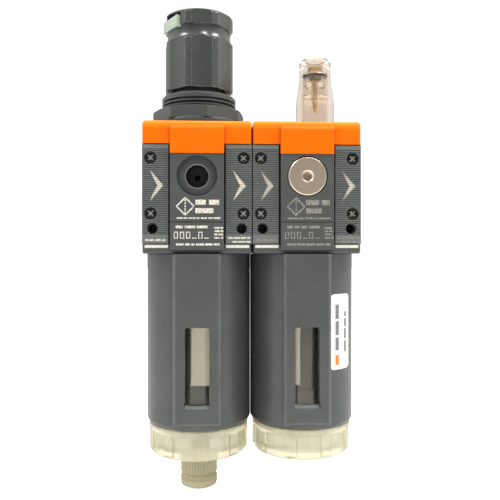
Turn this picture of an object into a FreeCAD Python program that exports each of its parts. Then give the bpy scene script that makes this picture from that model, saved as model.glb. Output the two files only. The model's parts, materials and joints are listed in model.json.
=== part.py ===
import FreeCAD, Part

import math
import os

from FreeCAD import Vector

# Filter regulator and lubricator set: two square modules side by side on one flow axis. The left module
# filters the air and sets its pressure, the right one adds oil mist. Each carries a bowl in a guard below.
# Millimetres. Origin: centre of the inlet port's mouth. +X along the flow, -Y towards the front, +Z up.
# A module part is built about its own vertical axis, then moved to FILTER_X or OILER_X.
# An OUTLINE is a list of (radius, height) pairs about that axis. OVER is how far a cutter runs past a face.

OVER = 1.0
FIT = 0.1
RUN = 0.05
TINY = 1e-6

# ---- module bodies ----
PITCH = 42.0
HALF_W = 20.8
FILTER_X = PITCH / 2
OILER_X = 3 * PITCH / 2
OUTLET_X = 2 * PITCH
FACE_Y = 19.7
CORE_Y = 17.2
PANEL_HALF = 10.2
PANEL_Y = 21.3
PANEL_ROUND = 0.4
BOTTOM_Z = -25.9
LIP_TOP_Z = -22.3
LIP_CORNER_R = 1.5
LIP_EDGE_R = 0.8
PANEL_BOTTOM_Z = -24.5
SEAM_Z = -13.9
SEAM_W = 0.34
SEAM_DEPTH = 0.35
SHOULDER_X = 19.3
SHOULDER_Y = 18.4
BOSS_HALF = 8.8
BOSS_Y = 20.2
BOSS_TOP_Z = 21.4

# ---- caps and ridged plates ----
CAP_EDGE_Z = 15.9
TONGUE_Z = 12.0
TONGUE_TOP_Z = 22.9
TONGUE_ROUND = 0.7
TONGUE_TOP_BEVEL = (1.0, 1.5)
SHOULDER_TOP_Z = 23.1
CAP_TOP_Z = 24.8
CAP_Y = 19.9
CAP_CORNER_R = 1.2
CAP_EDGE_R = 1.3
TONGUE_Y = 21.6
FILTER_CAP_HOLE_R = 17.3
PLATE_INNER_X = 10.9
PLATE_Z = (-22.2, 15.8)
PLATE_ROUND = 0.3
RIDGE_Z = (-18.6, 14.6)
RIDGE_PITCH = 0.7
RIDGE_DEPTH = 0.35
RIDGE_STEPS = (0.08, 0.27, 0.35)

# ---- fasteners and wall holes ----
SCREW_X = 17.7
SCREW_Z = 10.6
SCREW_R = 1.25
SCREW_HEAD_R = 1.9
SCREW_HEAD_Y = (-18.8, -17.9)
SCREW_HEAD_ROUND = 0.45
SCREW_TIP_Y = 19.1
SCREW_RECESS_R = 2.4
SCREW_RECESS = 1.9
CROSS_HALF = (1.35, 0.3)
CROSS_DEPTH = 0.65
WALL_HOLE_X = 17.0
WALL_HOLE_Z = -16.3
WALL_HOLE_R = 2.1
WALL_THREAD_R = 1.65
WALL_THREAD_FLOOR_Y = 7.7
THROUGH_Y = (-30.0, 30.0)

# ---- ports and port flanges ----
G14_MINOR_R = 11.445 / 2
G18_MINOR_R = 8.566 / 2
GAUGE_Z = 3.6
GAUGE_RECESS_R = 7.7
GAUGE_RECESS = 2.4
PORT_LEAD = 0.6
PORT_LEAD_DEPTH = 0.5
GAUGE_BORE_Y = 11.5
SENSE_R = 1.2
SENSE_Y = 6.5
FILL_BORE_Y = 9.0
FILL_WAY_R = 2.0
FILL_WAY_Y = -11.0
FLANGE_T = 5.5
FLANGE_Y = 12.0
FLANGE_Z = 13.0
FLANGE_CORNER_R = 1.0
SPIGOT_R = 8.5
SPIGOT_L = 3.5
SPIGOT_GROOVE_X = (6.3, 7.9)
SPIGOT_GROOVE = 1.1
FLOW_R = 6.0
PLUG_HEAD_R = 7.35
PLUG_PROUD = 0.3
PLUG_CHAMFER = 0.35
PLUG_END_Y = -14.4
PLUG_SOCKET_AF = 3.0
PLUG_SOCKET_DEPTH = 2.8
PLUG_LEAD_R = (2.3, 1.5)
PLUG_LEAD_DEPTH = 0.8
PLUG_SEAL_R = (4.72, 0.34)
PLUG_GROOVE_R = 5.4
PLUG_GROOVE = 0.75

# ---- passages in the filter body ----
INLET_DROP_X = (-12.2, -8.3)
INLET_DROP_TOP_Z = 4.0
VALVE_SIDE_HALF = 5.0
VALVE_SIDE_Z = (-1.5, 5.4)
OUTLET_START_X = 8.4
SCREW_IN_BORE_R = 7.45
VALVE_BORE_R = 6.0
VALVE_SEAT_R = 4.2
VALVE_BORE_Z = (-10.0, -4.0, -1.5)
CHAMBER_R = 7.5
CHAMBER_TOP_Z = 9.5
DIAPHRAGM_BORE_R = 14.0
DIAPHRAGM_FLOOR_Z = 9.0
SPIGOT_BORE_R = 17.05

# ---- bowls and guards ----
SOCKET_R = 19.4
SOCKET_Z = -20.1
NECK_R = 14.0
NECK_SLACK = 0.2
NECK_TOP_Z = -14.6
NECK_CEILING_Z = -14.3
NECK_BORE_R = 12.3
NECK_GROOVE = 0.9
NECK_GROOVE_Z = (-18.8, -17.0)
BOWL_R = 17.5
BOWL_INNER_R = 15.4
GUARD_R = 20.95
GUARD_INNER_R = 17.9
GUARD_TOP_Z = -26.0
GUARD_BOTTOM_Z = -93.5
GUARD_NECK_R = 19.3
GUARD_NECK_TOP_Z = -20.3
GUARD_FOOT = (1.0, 1.7)
PAD_HALF = 9.2
PAD_BACK_Y = 10.0
PAD_BOTTOM_Z = -91.4
PAD_ROUND = 1.3
WINDOW_HALF = 4.6
WINDOW_Z = (-83.6, -54.0)
WINDOW_ROUND = 1.0
SILL_DROP = 1.6
SILL_SIDE = 0.4
SKIRT_R = 20.1
SKIRT_Z = (-105.3, -93.6)
GRIP_COUNT = 9
GRIP_POCKET_DEG = 28.0
GRIP_POCKET = 0.9
GRIP_LEDGE = 2.4
FILTER_RIB_PHASE = 5.6
OILER_RIB_PHASE = -17.8
LUG_ANGLES = (26, 124, 206, 304)
LUG_DEG = 24.0
LUG_R = 20.2
LUG_GROOVE_R = 20.4
BAYONET_DEG = 30.0
LUG_Z = (-24.3, -22.7)
LUG_SLACK = 0.2

# ---- drain ----
DRAIN_BORE_R = 3.05
DRAIN_BUSH_OUTLINE = [(1.58, -108.0), (3.0, -108.0), (3.0, -99.48), (4.6, -99.48), (4.6, -98.3),
                      (1.58, -98.3)]
DRAIN_STEM_OUTLINE = [(0, -118.7), (1.5, -118.7), (1.5, -118.0), (1.2, -118.0), (1.2, -117.36),
                      (1.5, -117.36), (1.5, -97.6), (2.9, -97.6), (2.9, -96.4), (0, -96.4)]
DRAIN_KNOB_OUTLINE = [(0, -120.5), (6.0, -120.5), (7.1, -119.9), (7.4, -119.1), (7.4, -116.4), (6.5, -115.3),
                      (7.4, -114.6), (7.4, -106.1), (6.9, -105.6), (0, -105.6)]
DRAIN_KNOB_BORES = ((5.6, -114.2, -100.0), (1.56, -121.5, -114.0), (2.6, -121.5, -117.3))
DRAIN_OUTLET_R = 0.7
DRAIN_OUTLET_X = 4.2
DRAIN_OUTLETS = 4
KNURL_COUNT = 40
KNURL_SIDE = 0.55
KNURL_X = 7.45
KNURL_Z = (-117.4, -106.4)
DRAIN_CLIP = (1.22, 2.4, -117.98, -117.38)
DRAIN_SEAL = (1.52, 2.8, -98.28, -97.62)
DRAIN_SPRING = (4.1, 0.35, -114.18, -108.02, 4)

# ---- regulator: bonnet, knob and tab ----
BONNET_Z = (24.9, 27.2, 31.6, 37.5)
BONNET_SPIGOT_R = 17.0
FLANGE_RING_R = 18.3
FLANGE_RING_EDGE = 0.9
OCTAGON_R = 18.7
OCTAGON_PHASE = 11.7
OCTAGON_EDGE = (1.8, 0.8)
COLLAR_R = 15.0
COLLAR_EDGE = 0.8
THREAD_PITCH = 1.5
THREAD_COUNT = 3
THREAD_TOP = 2.7
THREAD_GROOVE = (0.9, 0.5, 0.06)
TOWER_R = 10.5
TOWER_TOP_Z = 56.0
BONNET_BORES = ((14.5, 13.0, 18.8), (12.0, 18.0, 36.4), (8.6, 36.0, 53.0), (5.05, 52.0, 60.0))
KEYWAY = (13.2, 1.5)
VENT_R = 0.8
VENT_Y = (10.0, 22.0)
VENT_Z = 29.5
LOCK_TEETH = 12
LOCK_TOOTH_DEG = 12.0
BONNET_TOOTH = (10.0, 11.3, 43.0, 46.0)
KNOB_TOOTH = (10.7, 12.0, 46.3, 49.3)
KNOB_TOOTH_PHASE = 9.0
KNOB_R = 14.0
KNOB_NECK_R = 12.6
KNOB_Z = (39.4, 59.2, 64.3, 70.05)
KNOB_FLARE = (0.85, 3.6, 6)
KNOB_EDGE = 0.35
KNOB_TOP_EDGE = 1.0
KNOB_DISH = (10.4, 0.2)
KNOB_CAVITY = (11.6, 58.0)
KNOB_LANDS = 8
KNOB_LAND_PHASE = -15.3
KNOB_LAND_DEG = 11.0
KNOB_FLUTE_DIP = 0.3
KNOB_SOCKET_R = 4.9
KNOB_SOCKET_Z = (57.0, 66.5)
TAB_TURN = -148.6
TAB_HALF = 5.75
TAB_X = (7.2, 13.35)
TAB_Z = (63.5, 68.0)
TAB_ROUND = 0.3
TAB_HOLE = (1.5, 10.4, 2.9)
POCKET_X = (6.5, 20.0)
POCKET_SIDE = 0.35
POCKET_Z = (63.3, 69.2)

# ---- regulator: screw, spring, diaphragm and valve ----
SCREW_COLLAR = (8.2, 49.5, 52.4)
SCREW_JOURNAL = (4.95, 52.0, 56.0)
SCREW_HEX = (4.8, 55.9, 64.5)
SCREW_OUTLINE = [(0, 22.0), (2.9, 22.0), (3.4, 22.6), (3.4, 50.0), (0, 50.0)]
THRUST_WASHER = (5.1, 8.2, 52.43, 52.95)
NUT_Z = (33.4, 36.3)
NUT_R = 11.8
NUT_KEY = (13.0, 1.35)
NUT_HUB = (6.0, 30.4)
NUT_BORE_R = 3.46
DIAPHRAGM_Z = 14.0
DIAPHRAGM_T = 1.2
DIAPHRAGM_HOLE_R = 2.1
DIAPHRAGM_R = 16.9
CONVOLUTION = (12.6, 13.1, 13.7, 0.5)
PLATE_RIVET_R = 2.05
PLATE_RELIEF_R = 0.6
PLATE_LOWER = (8.0, 1.3)
PLATE_UPPER = (12.2, 2.9)
PLATE_HUB = (8.6, 4.6)
MAIN_SPRING = (10.0, 0.85, 4.5)
POPPET_TIP_Z = 12.63
POPPET_OUTLINE = [(0, -17.0), (1.5, -17.0), (1.9, -16.6), (1.9, -6.6), (5.0, -6.6), (5.0, -4.7), (1.1, -4.7),
                  (1.1, POPPET_TIP_Z - 0.4), (0.8, POPPET_TIP_Z), (0, POPPET_TIP_Z)]
POPPET_SEAL = (1.12, 4.9, -4.68, -4.02)
POPPET_SPRING = (3.6, 0.4, -15.58, -6.62, 5)

# ---- filter insert ----
HOLDER_OUTLINE = [(0, -53.4), (4.0, -53.4), (4.0, -16.3), (8.2, -16.3), (8.2, -14.4), (7.4, -14.4),
                  (7.4, -10.1), (0, -10.1)]
HOLDER_BORES = ((4.6, -15.6, -9.0), (2.6, -52.0, -15.0))
HOLDER_SLOT_HALF = 1.1
HOLDER_SLOT_Z = (-46.0, -24.0)
HOLDER_SLOTS = 4
VANE_RING = (4.05, 12.0, -19.4, -16.4)
VANE_SLOT = (8.8, 0.9)
VANE_COUNT = 12
VANE_TILT = 35.0
ELEMENT = (7.5, 11.5, -50.0, -19.5)
BAFFLE_OUTLINE = [(4.05, -53.2), (6.0, -53.2), (6.0, -51.6), (11.0, -52.6), (11.8, -52.6), (11.8, -51.8),
                  (10.6, -50.1), (4.05, -50.1)]

# ---- lubricator ----
DOME_X = 6.0
DOME_R = 7.85
DOME_TOP_R = 6.4
DOME_Z = (18.6, 35.6, 46.2, 52.3, 53.7)
DOME_BORE_R = 5.2
DOME_EDGE = 0.9
DOME_GROOVE = 0.9
DOME_GROOVE_Z = (20.0, 21.6)
DOME_SEAT_Z = 18.0
DOME_WELL = (4.2, 50.8)
DOME_GUIDE = (3.4, 48.0)
DOME_HOLE_SLACK = 0.3
DRIP_WAY_R = 1.4
RISER_R = 1.2
HOUSING_OUTLINE = [(1.2, 38.3), (5.1, 38.3), (5.1, 38.8), (3.6, 38.8), (3.6, 42.0), (4.4, 43.0), (4.4, 46.3),
                   (4.0, 46.3), (4.0, 47.9), (2.45, 47.9), (2.45, 43.9), (1.2, 43.9)]
NEEDLE_OUTLINE = [(0, 32.0), (0.95, 34.3), (0.95, 44.1), (1.5, 44.1), (1.5, 48.3), (2.7, 48.3), (2.9, 48.5),
                  (2.9, 50.4), (2.6, 50.7), (0, 50.7)]
NEEDLE_SLOT = (0.35, 49.8)
DRIP_SEAT = (1.3, 5.15, 36.2, 38.25)
DOME_SEAL_Z = 20.8
HOUSING_SEAL = (4.0, 47.0)
NEEDLE_SEAL = (2.45, 1.5, 45.6)
TUBE_X = 3.4
TUBE_Y = 7.8
TUBE_R = 2.6
TUBE_BORE_R = 1.4
TUBE_Z = (-86.0, -11.5)
TUBE_SOCKET_TOP_Z = -10.15
BALL_BORE = (1.9, -6.2)
BALL_R = 1.5
BALL_SEAT = (1.0, -11.45, -10.2)
BALL_GAP = 0.02
STRAINER_OUTLINE = [(0, -90.0), (3.2, -90.0), (3.6, -89.4), (3.6, -84.0), (TUBE_R + 0.02, -84.0),
                    (TUBE_R + 0.02, -86.1), (0, -86.1)]
VENTURI_R = (5.95, 5.6, 4.8)
VENTURI_HALF = 9.0
VENTURI_LEAD = 1.6
FLAP_PIN = (-2.0, 4.0, 0.5, 3.3)
FLAP_POCKET = (-3.4, 3.0, 2.5, 2.8, 5.2)
FLAP_R = 4.2
FLAP_X = (-2.4, -1.6)
FLAP_TOP_Z = 3.3
FLAP_EYE = (0.95, 0.56, 1.6)
SEAL_SLACK = 0.01


# ---- building blocks ----
def box(x, y, z):
    """A block from three (low, high) pairs."""
    return Part.makeBox(x[1] - x[0], y[1] - y[0], z[1] - z[0], Vector(x[0], y[0], z[0]))


def cyl(r, z, x=0.0, y=0.0):
    """An upright cylinder."""
    return Part.makeCylinder(r, z[1] - z[0], Vector(x, y, z[0]))


def cyl_x(r, x):
    """A cylinder along the flow axis."""
    return Part.makeCylinder(r, x[1] - x[0], Vector(x[0], 0, 0), Vector(1, 0, 0))


def cyl_y(r, y, x=0.0, z=0.0):
    """A cylinder from front to back."""
    return Part.makeCylinder(r, y[1] - y[0], Vector(x, y[0], z), Vector(0, 1, 0))


def tube(r_in, r_out, low, high, x=0.0, y=0.0):
    """An upright tube."""
    return cyl(r_out, (low, high), x, y).cut(cyl(r_in, (low - OVER, high + OVER), x, y))


def turned(outline):
    """A solid turned about Z from its outline."""
    wire = Part.makePolygon([Vector(r, 0, z) for r, z in outline + outline[:1]])
    return Part.Face(wire).revolve(Vector(0, 0, 0), Vector(0, 0, 1), 360)


def sector(r_in, r_out, start, sweep, z):
    """A ring sector, its angles in degrees from +X."""
    wedge = Part.makeCylinder(r_out, z[1] - z[0], Vector(0, 0, z[0]), Vector(0, 0, 1), sweep)
    wedge.rotate(Vector(0, 0, 0), Vector(0, 0, 1), start)
    return wedge.cut(cyl(r_in, (z[0] - OVER, z[1] + OVER)))


def polygon_prism(radius, sides, phase, z):
    """An upright regular prism, one corner at the phase angle from +X."""
    angles = [math.radians(phase + 360 * k / sides) for k in range(sides + 1)]
    wire = Part.makePolygon([Vector(radius * math.cos(a), radius * math.sin(a), z[0]) for a in angles])
    return Part.Face(wire).extrude(Vector(0, 0, z[1] - z[0]))


def around(solid, count, start=0.0):
    """Copies of a solid at equal turns about Z."""
    copies = []
    for k in range(count):
        copy = solid.copy()
        copy.rotate(Vector(0, 0, 0), Vector(0, 0, 1), start + 360 * k / count)
        copies.append(copy)
    return copies


def at(solid, x=0.0, y=0.0, z=0.0):
    """A moved copy."""
    copy = solid.copy()
    copy.translate(Vector(x, y, z))
    return copy


def mirrored_y(solid):
    """The same solid seen in the front-to-back mirror."""
    return solid.mirror(Vector(0, 0, 0), Vector(0, 1, 0))


def mirrored_x(solid):
    """The same solid seen in the left-to-right mirror."""
    return solid.mirror(Vector(0, 0, 0), Vector(1, 0, 0))


def span(a, b, side=1):
    """A (low, high) pair on one side of a middle plane."""
    return tuple(sorted((side * a, side * b)))


def near(a, b):
    """Whether two coordinates are the same."""
    return abs(a - b) < TINY


def upright(a, b):
    """Whether an edge from a to b runs along Z."""
    return near(a.x, b.x) and near(a.y, b.y)


def fillet_where(solid, radius, keep):
    """Rounds the straight edges whose two end points satisfy keep."""
    edges = []
    for edge in solid.Edges:
        if len(edge.Vertexes) == 2 and keep(edge.Vertexes[0].Point, edge.Vertexes[1].Point):
            edges.append(edge)
    return solid.makeFillet(radius, edges)


def o_ring(bore_r, groove_r, z, x=0.0, y=0.0):
    """An O-ring that lies between a groove and the bore around it, with a hair of clearance to both."""
    section = (bore_r - groove_r) / 2 - SEAL_SLACK
    return Part.makeTorus((bore_r + groove_r) / 2, section, Vector(x, y, z), Vector(0, 0, 1))


def coil(radius, wire_r, low, high, turns):
    """A compression spring standing on low and reaching high."""
    height = high - low - 2 * wire_r
    helix = Part.makeHelix(height / turns, height, radius)
    section = Part.Wire(Part.makeCircle(wire_r, Vector(radius, 0, 0), Vector(0, 1, 0)))
    spring = Part.Wire(helix).makePipeShell([section], True, True)
    return at(spring, z=low + wire_r)


def save(node, *solids):
    """Writes one node's solids to parts/."""
    shape = solids[0] if len(solids) == 1 else Part.makeCompound(list(solids))
    faulty = [s for s in shape.Solids if not s.isValid()]
    if faulty or not shape.Solids:
        print("CHECK", node, "solids", len(shape.Solids), "invalid", len(faulty))
    shape.exportStep(f"parts/{node}.step")


# ---- module bodies ----
def module_block():
    """The outer form that both modules share, with its front and rear panels."""
    lip = box((-HALF_W, HALF_W), (-FACE_Y, FACE_Y), (BOTTOM_Z, LIP_TOP_Z))
    lip = fillet_where(lip, LIP_CORNER_R, upright)
    lip = fillet_where(lip, LIP_EDGE_R, lambda a, b: near(a.z, BOTTOM_Z) and near(b.z, BOTTOM_Z))
    core = box((-HALF_W, HALF_W), (-CORE_Y, CORE_Y), (LIP_TOP_Z, CAP_EDGE_Z))
    shoulder = box((-SHOULDER_X, SHOULDER_X), (-SHOULDER_Y, SHOULDER_Y), (CAP_EDGE_Z, SHOULDER_TOP_Z))
    block = lip.fuse([core, shoulder])
    for side in (-1, 1):
        panel = box((-PANEL_HALF, PANEL_HALF), span(CORE_Y, PANEL_Y, side), (PANEL_BOTTOM_Z, TONGUE_Z))
        panel = fillet_where(panel, PANEL_ROUND, lambda a, b: upright(a, b) and near(abs(a.y), PANEL_Y))
        boss = box((-BOSS_HALF, BOSS_HALF), span(CORE_Y, BOSS_Y, side), (TONGUE_Z, BOSS_TOP_Z))
        block = block.fuse([panel, boss])
    return block.removeSplitter()


def panel_seams():
    """The fine grooves that part each panel into a name field and a data field."""
    seams = []
    for side in (-1, 1):
        depth = span(PANEL_Y - SEAM_DEPTH, PANEL_Y + OVER, side)
        width = (-PANEL_HALF - OVER, PANEL_HALF + OVER)
        seams.append(box(width, depth, (SEAM_Z - SEAM_W / 2, SEAM_Z + SEAM_W / 2)))
    return seams


def side_openings():
    """Cuts for the port flanges in both side faces."""
    flange_face = FILTER_X - FLANGE_T
    cuts = []
    for side in (-1, 1):
        pocket_x = span(flange_face - FIT, HALF_W + OVER, side)
        cuts.append(box(pocket_x, (-FLANGE_Y - FIT, FLANGE_Y + FIT), (-FLANGE_Z - FIT, FLANGE_Z + FIT)))
        cuts.append(cyl_x(SPIGOT_R + FIT, span(flange_face - SPIGOT_L - FIT, flange_face + OVER, side)))
    return cuts


def fixing_holes(wall_r, wall_spans, screw_span):
    """One module's wall-fixing and retaining-screw holes, along the stated stretches of Y."""
    cuts = []
    for side in (-1, 1):
        cuts += [cyl_y(wall_r, y, side * WALL_HOLE_X, WALL_HOLE_Z) for y in wall_spans]
        cuts += [cyl_y(SCREW_R + RUN, screw_span, side * SCREW_X, level) for level in (-SCREW_Z, SCREW_Z)]
    return cuts


def bowl_socket():
    """The seat for a bowl's neck and its guard, with the bayonet's grooves and ways in."""
    cuts = [cyl(SOCKET_R, (BOTTOM_Z - OVER, SOCKET_Z))]
    cuts.append(cyl(NECK_R + NECK_SLACK, (SOCKET_Z - OVER, NECK_CEILING_Z)))
    for angle in LUG_ANGLES:
        start = angle - LUG_DEG / 2 - 1
        groove_z = (LUG_Z[0] - LUG_SLACK, LUG_Z[1] + LUG_SLACK)
        way_z = (BOTTOM_Z - OVER, LUG_Z[1])
        cuts.append(sector(SOCKET_R - OVER, LUG_GROOVE_R, start, BAYONET_DEG + LUG_DEG + 2, groove_z))
        cuts.append(sector(SOCKET_R - OVER, LUG_GROOVE_R, start + BAYONET_DEG, LUG_DEG + 2, way_z))
    return cuts


def front_port(inner_y):
    """A recessed port in the front panel, bored in to inner_y."""
    floor = -PANEL_Y + GAUGE_RECESS
    recess = cyl_y(GAUGE_RECESS_R, (-PANEL_Y - OVER, floor), z=GAUGE_Z)
    bore = cyl_y(G18_MINOR_R, (-PANEL_Y, -inner_y), z=GAUGE_Z)
    mouth = Vector(0, floor, GAUGE_Z)
    lead = Part.makeCone(G18_MINOR_R + PORT_LEAD, G18_MINOR_R, PORT_LEAD_DEPTH, mouth, Vector(0, 1, 0))
    return [recess, bore, lead]


def shared_cuts():
    """Everything that both bodies are machined with. The tapped wall holes are blind, from both faces."""
    tapped = [(THROUGH_Y[0], -WALL_THREAD_FLOOR_Y), (WALL_THREAD_FLOOR_Y, THROUGH_Y[1])]
    return panel_seams() + side_openings() + fixing_holes(WALL_THREAD_R, tapped, THROUGH_Y) + bowl_socket()


def filter_body():
    """Body of the filter regulator: inlet to the bowl, then up through the seat to the outlet chamber."""
    flange_floor = FILTER_X - FLANGE_T - SPIGOT_L
    low, seat_z, side_z = VALVE_BORE_Z
    cuts = shared_cuts() + front_port(GAUGE_BORE_Y)
    cuts.append(cyl_y(SENSE_R, (-GAUGE_BORE_Y - OVER, -SENSE_Y), z=GAUGE_Z))
    cuts.append(box(INLET_DROP_X, (-FLOW_R, FLOW_R), (NECK_CEILING_Z - OVER, INLET_DROP_TOP_Z)))
    cuts.append(cyl_x(FLOW_R, (OUTLET_START_X, flange_floor + FIT)))
    cuts.append(box((0, OUTLET_START_X + FIT), (-VALVE_SIDE_HALF, VALVE_SIDE_HALF), VALVE_SIDE_Z))
    cuts.append(cyl(SCREW_IN_BORE_R, (NECK_CEILING_Z - OVER, low)))
    cuts.append(cyl(VALVE_BORE_R, (low - OVER, seat_z)))
    cuts.append(cyl(VALVE_SEAT_R, (seat_z - OVER, side_z)))
    cuts.append(cyl(CHAMBER_R, (side_z - FIT, CHAMBER_TOP_Z)))
    cuts.append(cyl(DIAPHRAGM_BORE_R, (DIAPHRAGM_FLOOR_Z, DIAPHRAGM_Z + OVER)))
    cuts.append(cyl(SPIGOT_BORE_R, (DIAPHRAGM_Z, SHOULDER_TOP_Z + OVER)))
    return module_block().cut(cuts).removeSplitter()


def oiler_body():
    """Body of the lubricator: a straight flow bore, an oil riser, a drip bore and an oil filling way."""
    flange_floor = FILTER_X - FLANGE_T - SPIGOT_L + FIT
    top = DOME_SEAT_Z + OVER
    cuts = shared_cuts() + front_port(FILL_BORE_Y)
    cuts.append(cyl_x(FLOW_R, (-flange_floor, flange_floor)))
    cuts.append(cyl(DOME_R + FIT, (DOME_SEAT_Z, SHOULDER_TOP_Z + OVER), DOME_X))
    cuts.append(cyl(DRIP_WAY_R, (FLAP_PIN[1], top), DOME_X))
    cuts.append(cyl(TUBE_R + RUN, (NECK_CEILING_Z - OVER, TUBE_SOCKET_TOP_Z), TUBE_X, TUBE_Y))
    cuts.append(cyl(BALL_BORE[0], (TUBE_SOCKET_TOP_Z - RUN, BALL_BORE[1]), TUBE_X, TUBE_Y))
    cuts.append(cyl(RISER_R, (BALL_BORE[1] - OVER, top), TUBE_X, TUBE_Y))
    cuts.append(cyl(FILL_WAY_R, (NECK_CEILING_Z - OVER, GAUGE_Z), 0, FILL_WAY_Y))
    return module_block().cut(cuts).removeSplitter()


def top_cap(opening_r, opening_x):
    """The coloured cap over a module, with a tongue down the front and the rear."""
    cap = box((-HALF_W, HALF_W), (-CAP_Y, CAP_Y), (CAP_EDGE_Z + RUN, CAP_TOP_Z))
    cap = fillet_where(cap, CAP_CORNER_R, upright)
    cap = cap.makeFillet(CAP_EDGE_R, [e for e in cap.Edges if all(near(v.Z, CAP_TOP_Z) for v in e.Vertexes)])
    inner_x = (-SHOULDER_X - FIT, SHOULDER_X + FIT)
    top = SHOULDER_TOP_Z + RUN
    hollows = [box(inner_x, (-CORE_Y - FIT, CORE_Y + FIT), (TONGUE_Z - OVER, top)),
               box(inner_x, (-SHOULDER_Y - FIT, SHOULDER_Y + FIT), (CAP_EDGE_Z - RUN, top)),
               cyl(opening_r, (CAP_EDGE_Z, CAP_TOP_Z + OVER), opening_x)]
    for side in (-1, 1):
        width = (-PANEL_HALF - RUN, PANEL_HALF + RUN)
        tongue = box(width, span(CORE_Y + FIT, TONGUE_Y, side), (TONGUE_Z + RUN, TONGUE_TOP_Z))
        tongue = fillet_where(tongue, TONGUE_ROUND, lambda a, b: near(abs(a.y), TONGUE_Y) and upright(a, b))
        depth, drop = TONGUE_TOP_BEVEL
        y, z = side * TONGUE_Y, TONGUE_TOP_Z
        corner = [Vector(-HALF_W, y, z - drop), Vector(-HALF_W, y - side * depth, z), Vector(-HALF_W, y, z)]
        bevel = Part.Face(Part.makePolygon(corner + corner[:1])).extrude(Vector(2 * HALF_W, 0, 0))
        cap = cap.fuse(tongue.cut(bevel))
        boss_x = (-BOSS_HALF - FIT, BOSS_HALF + FIT)
        boss_z = (TONGUE_Z - OVER, BOSS_TOP_Z + FIT)
        hollows.append(box(boss_x, span(CORE_Y - FIT, BOSS_Y + FIT, side), boss_z))
    return cap.cut(hollows).removeSplitter()


def ridged_plate(recessed):
    """One ridged side plate on the right of a front face; recessed for screw heads, or plain."""
    low, high = PLATE_Z
    back, face, valley = -CORE_Y - RUN, -FACE_Y, -FACE_Y + RIDGE_DEPTH
    fall, floor_end, rise = RIDGE_STEPS
    outline = [(back, low), (face + PLATE_ROUND, low), (face, low + PLATE_ROUND)]
    z = RIDGE_Z[0]
    while z + RIDGE_PITCH <= RIDGE_Z[1] + TINY:
        outline += [(face, z), (valley, z + fall), (valley, z + floor_end), (face, z + rise)]
        z += RIDGE_PITCH
    outline += [(face, high - PLATE_ROUND), (face + PLATE_ROUND, high), (back, high)]
    wire = Part.makePolygon([Vector(PLATE_INNER_X, y, z) for y, z in outline + outline[:1]])
    plate = Part.Face(wire).extrude(Vector(HALF_W - PLATE_INNER_X, 0, 0))
    front_half = (THROUGH_Y[0], 0)
    cuts = fixing_holes(WALL_HOLE_R, [front_half], front_half)
    if recessed:
        for level in (-SCREW_Z, SCREW_Z):
            cuts.append(cyl_y(SCREW_RECESS_R, (-FACE_Y - OVER, -FACE_Y + SCREW_RECESS), SCREW_X, level))
    return plate.cut(cuts)


def plate_set(recessed):
    """The left and right plates of one face, built at the front."""
    right = ridged_plate(recessed)
    return [mirrored_x(right), right]


def plate_screw():
    """A cross-recessed retaining screw along Y, its axis on the origin."""
    front, back = SCREW_HEAD_Y
    head = cyl_y(SCREW_HEAD_R, SCREW_HEAD_Y)
    rim = [e for e in head.Edges if len(e.Vertexes) == 1 and near(e.Vertexes[0].Y, front)]
    head = head.makeFillet(SCREW_HEAD_ROUND, rim)
    shank = cyl_y(SCREW_R, (back - FIT, SCREW_TIP_Y))
    length, thickness = CROSS_HALF
    cross = []
    for turn in (45, 135):
        blade = box((-length, length), (front - OVER, front + CROSS_DEPTH), (-thickness, thickness))
        blade.rotate(Vector(0, 0, 0), Vector(0, 1, 0), turn)
        cross.append(blade)
    return head.fuse(shank).cut(cross)


# ---- port flanges ----
def spigot_groove(side=1):
    """The seal groove of a flange spigot whose flange starts at x = 0."""
    ring_x = span(*SPIGOT_GROOVE_X, side)
    return cyl_x(SPIGOT_R + OVER, ring_x).cut(cyl_x(SPIGOT_R - SPIGOT_GROOVE, ring_x))


def port_flange():
    """A screwed port flange with its mouth on the origin, reaching inwards along +X."""
    plate = box((0, FLANGE_T), (-FLANGE_Y, FLANGE_Y), (-FLANGE_Z, FLANGE_Z))
    plate = fillet_where(plate, FLANGE_CORNER_R, lambda a, b: near(a.y, b.y) and near(a.z, b.z))
    spigot = cyl_x(SPIGOT_R, (FLANGE_T - OVER, FLANGE_T + SPIGOT_L))
    cuts = [spigot_groove(), cyl_x(G14_MINOR_R, (-OVER, FLANGE_T + SPIGOT_L + OVER))]
    for level in (-SCREW_Z, SCREW_Z):
        cuts.append(cyl_y(SCREW_R + RUN, THROUGH_Y, FILTER_X - SCREW_X, level))
    return plate.fuse(spigot).cut(cuts)


def joining_flange():
    """The piece that seals and ties the two modules together, centred on the joint at x = PITCH."""
    reach = FLANGE_T + SPIGOT_L
    plate = box((-FLANGE_T, FLANGE_T), (-FLANGE_Y, FLANGE_Y), (-FLANGE_Z, FLANGE_Z))
    cuts = [cyl_x(FLOW_R, (-reach - OVER, reach + OVER))]
    for side in (-1, 1):
        cuts.append(spigot_groove(side))
        for level in (-SCREW_Z, SCREW_Z):
            cuts.append(cyl_y(SCREW_R + RUN, THROUGH_Y, side * (FILTER_X - SCREW_X), level))
    return at(plate.fuse(cyl_x(SPIGOT_R, (-reach, reach))).cut(cuts), x=PITCH)


def flange_seal(x):
    """An O-ring around a flange spigot."""
    bore_r, groove_r = SPIGOT_R + FIT, SPIGOT_R - SPIGOT_GROOVE
    section = (bore_r - groove_r) / 2 - SEAL_SLACK
    return Part.makeTorus((bore_r + groove_r) / 2, section, Vector(x, 0, 0), Vector(1, 0, 0))


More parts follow.
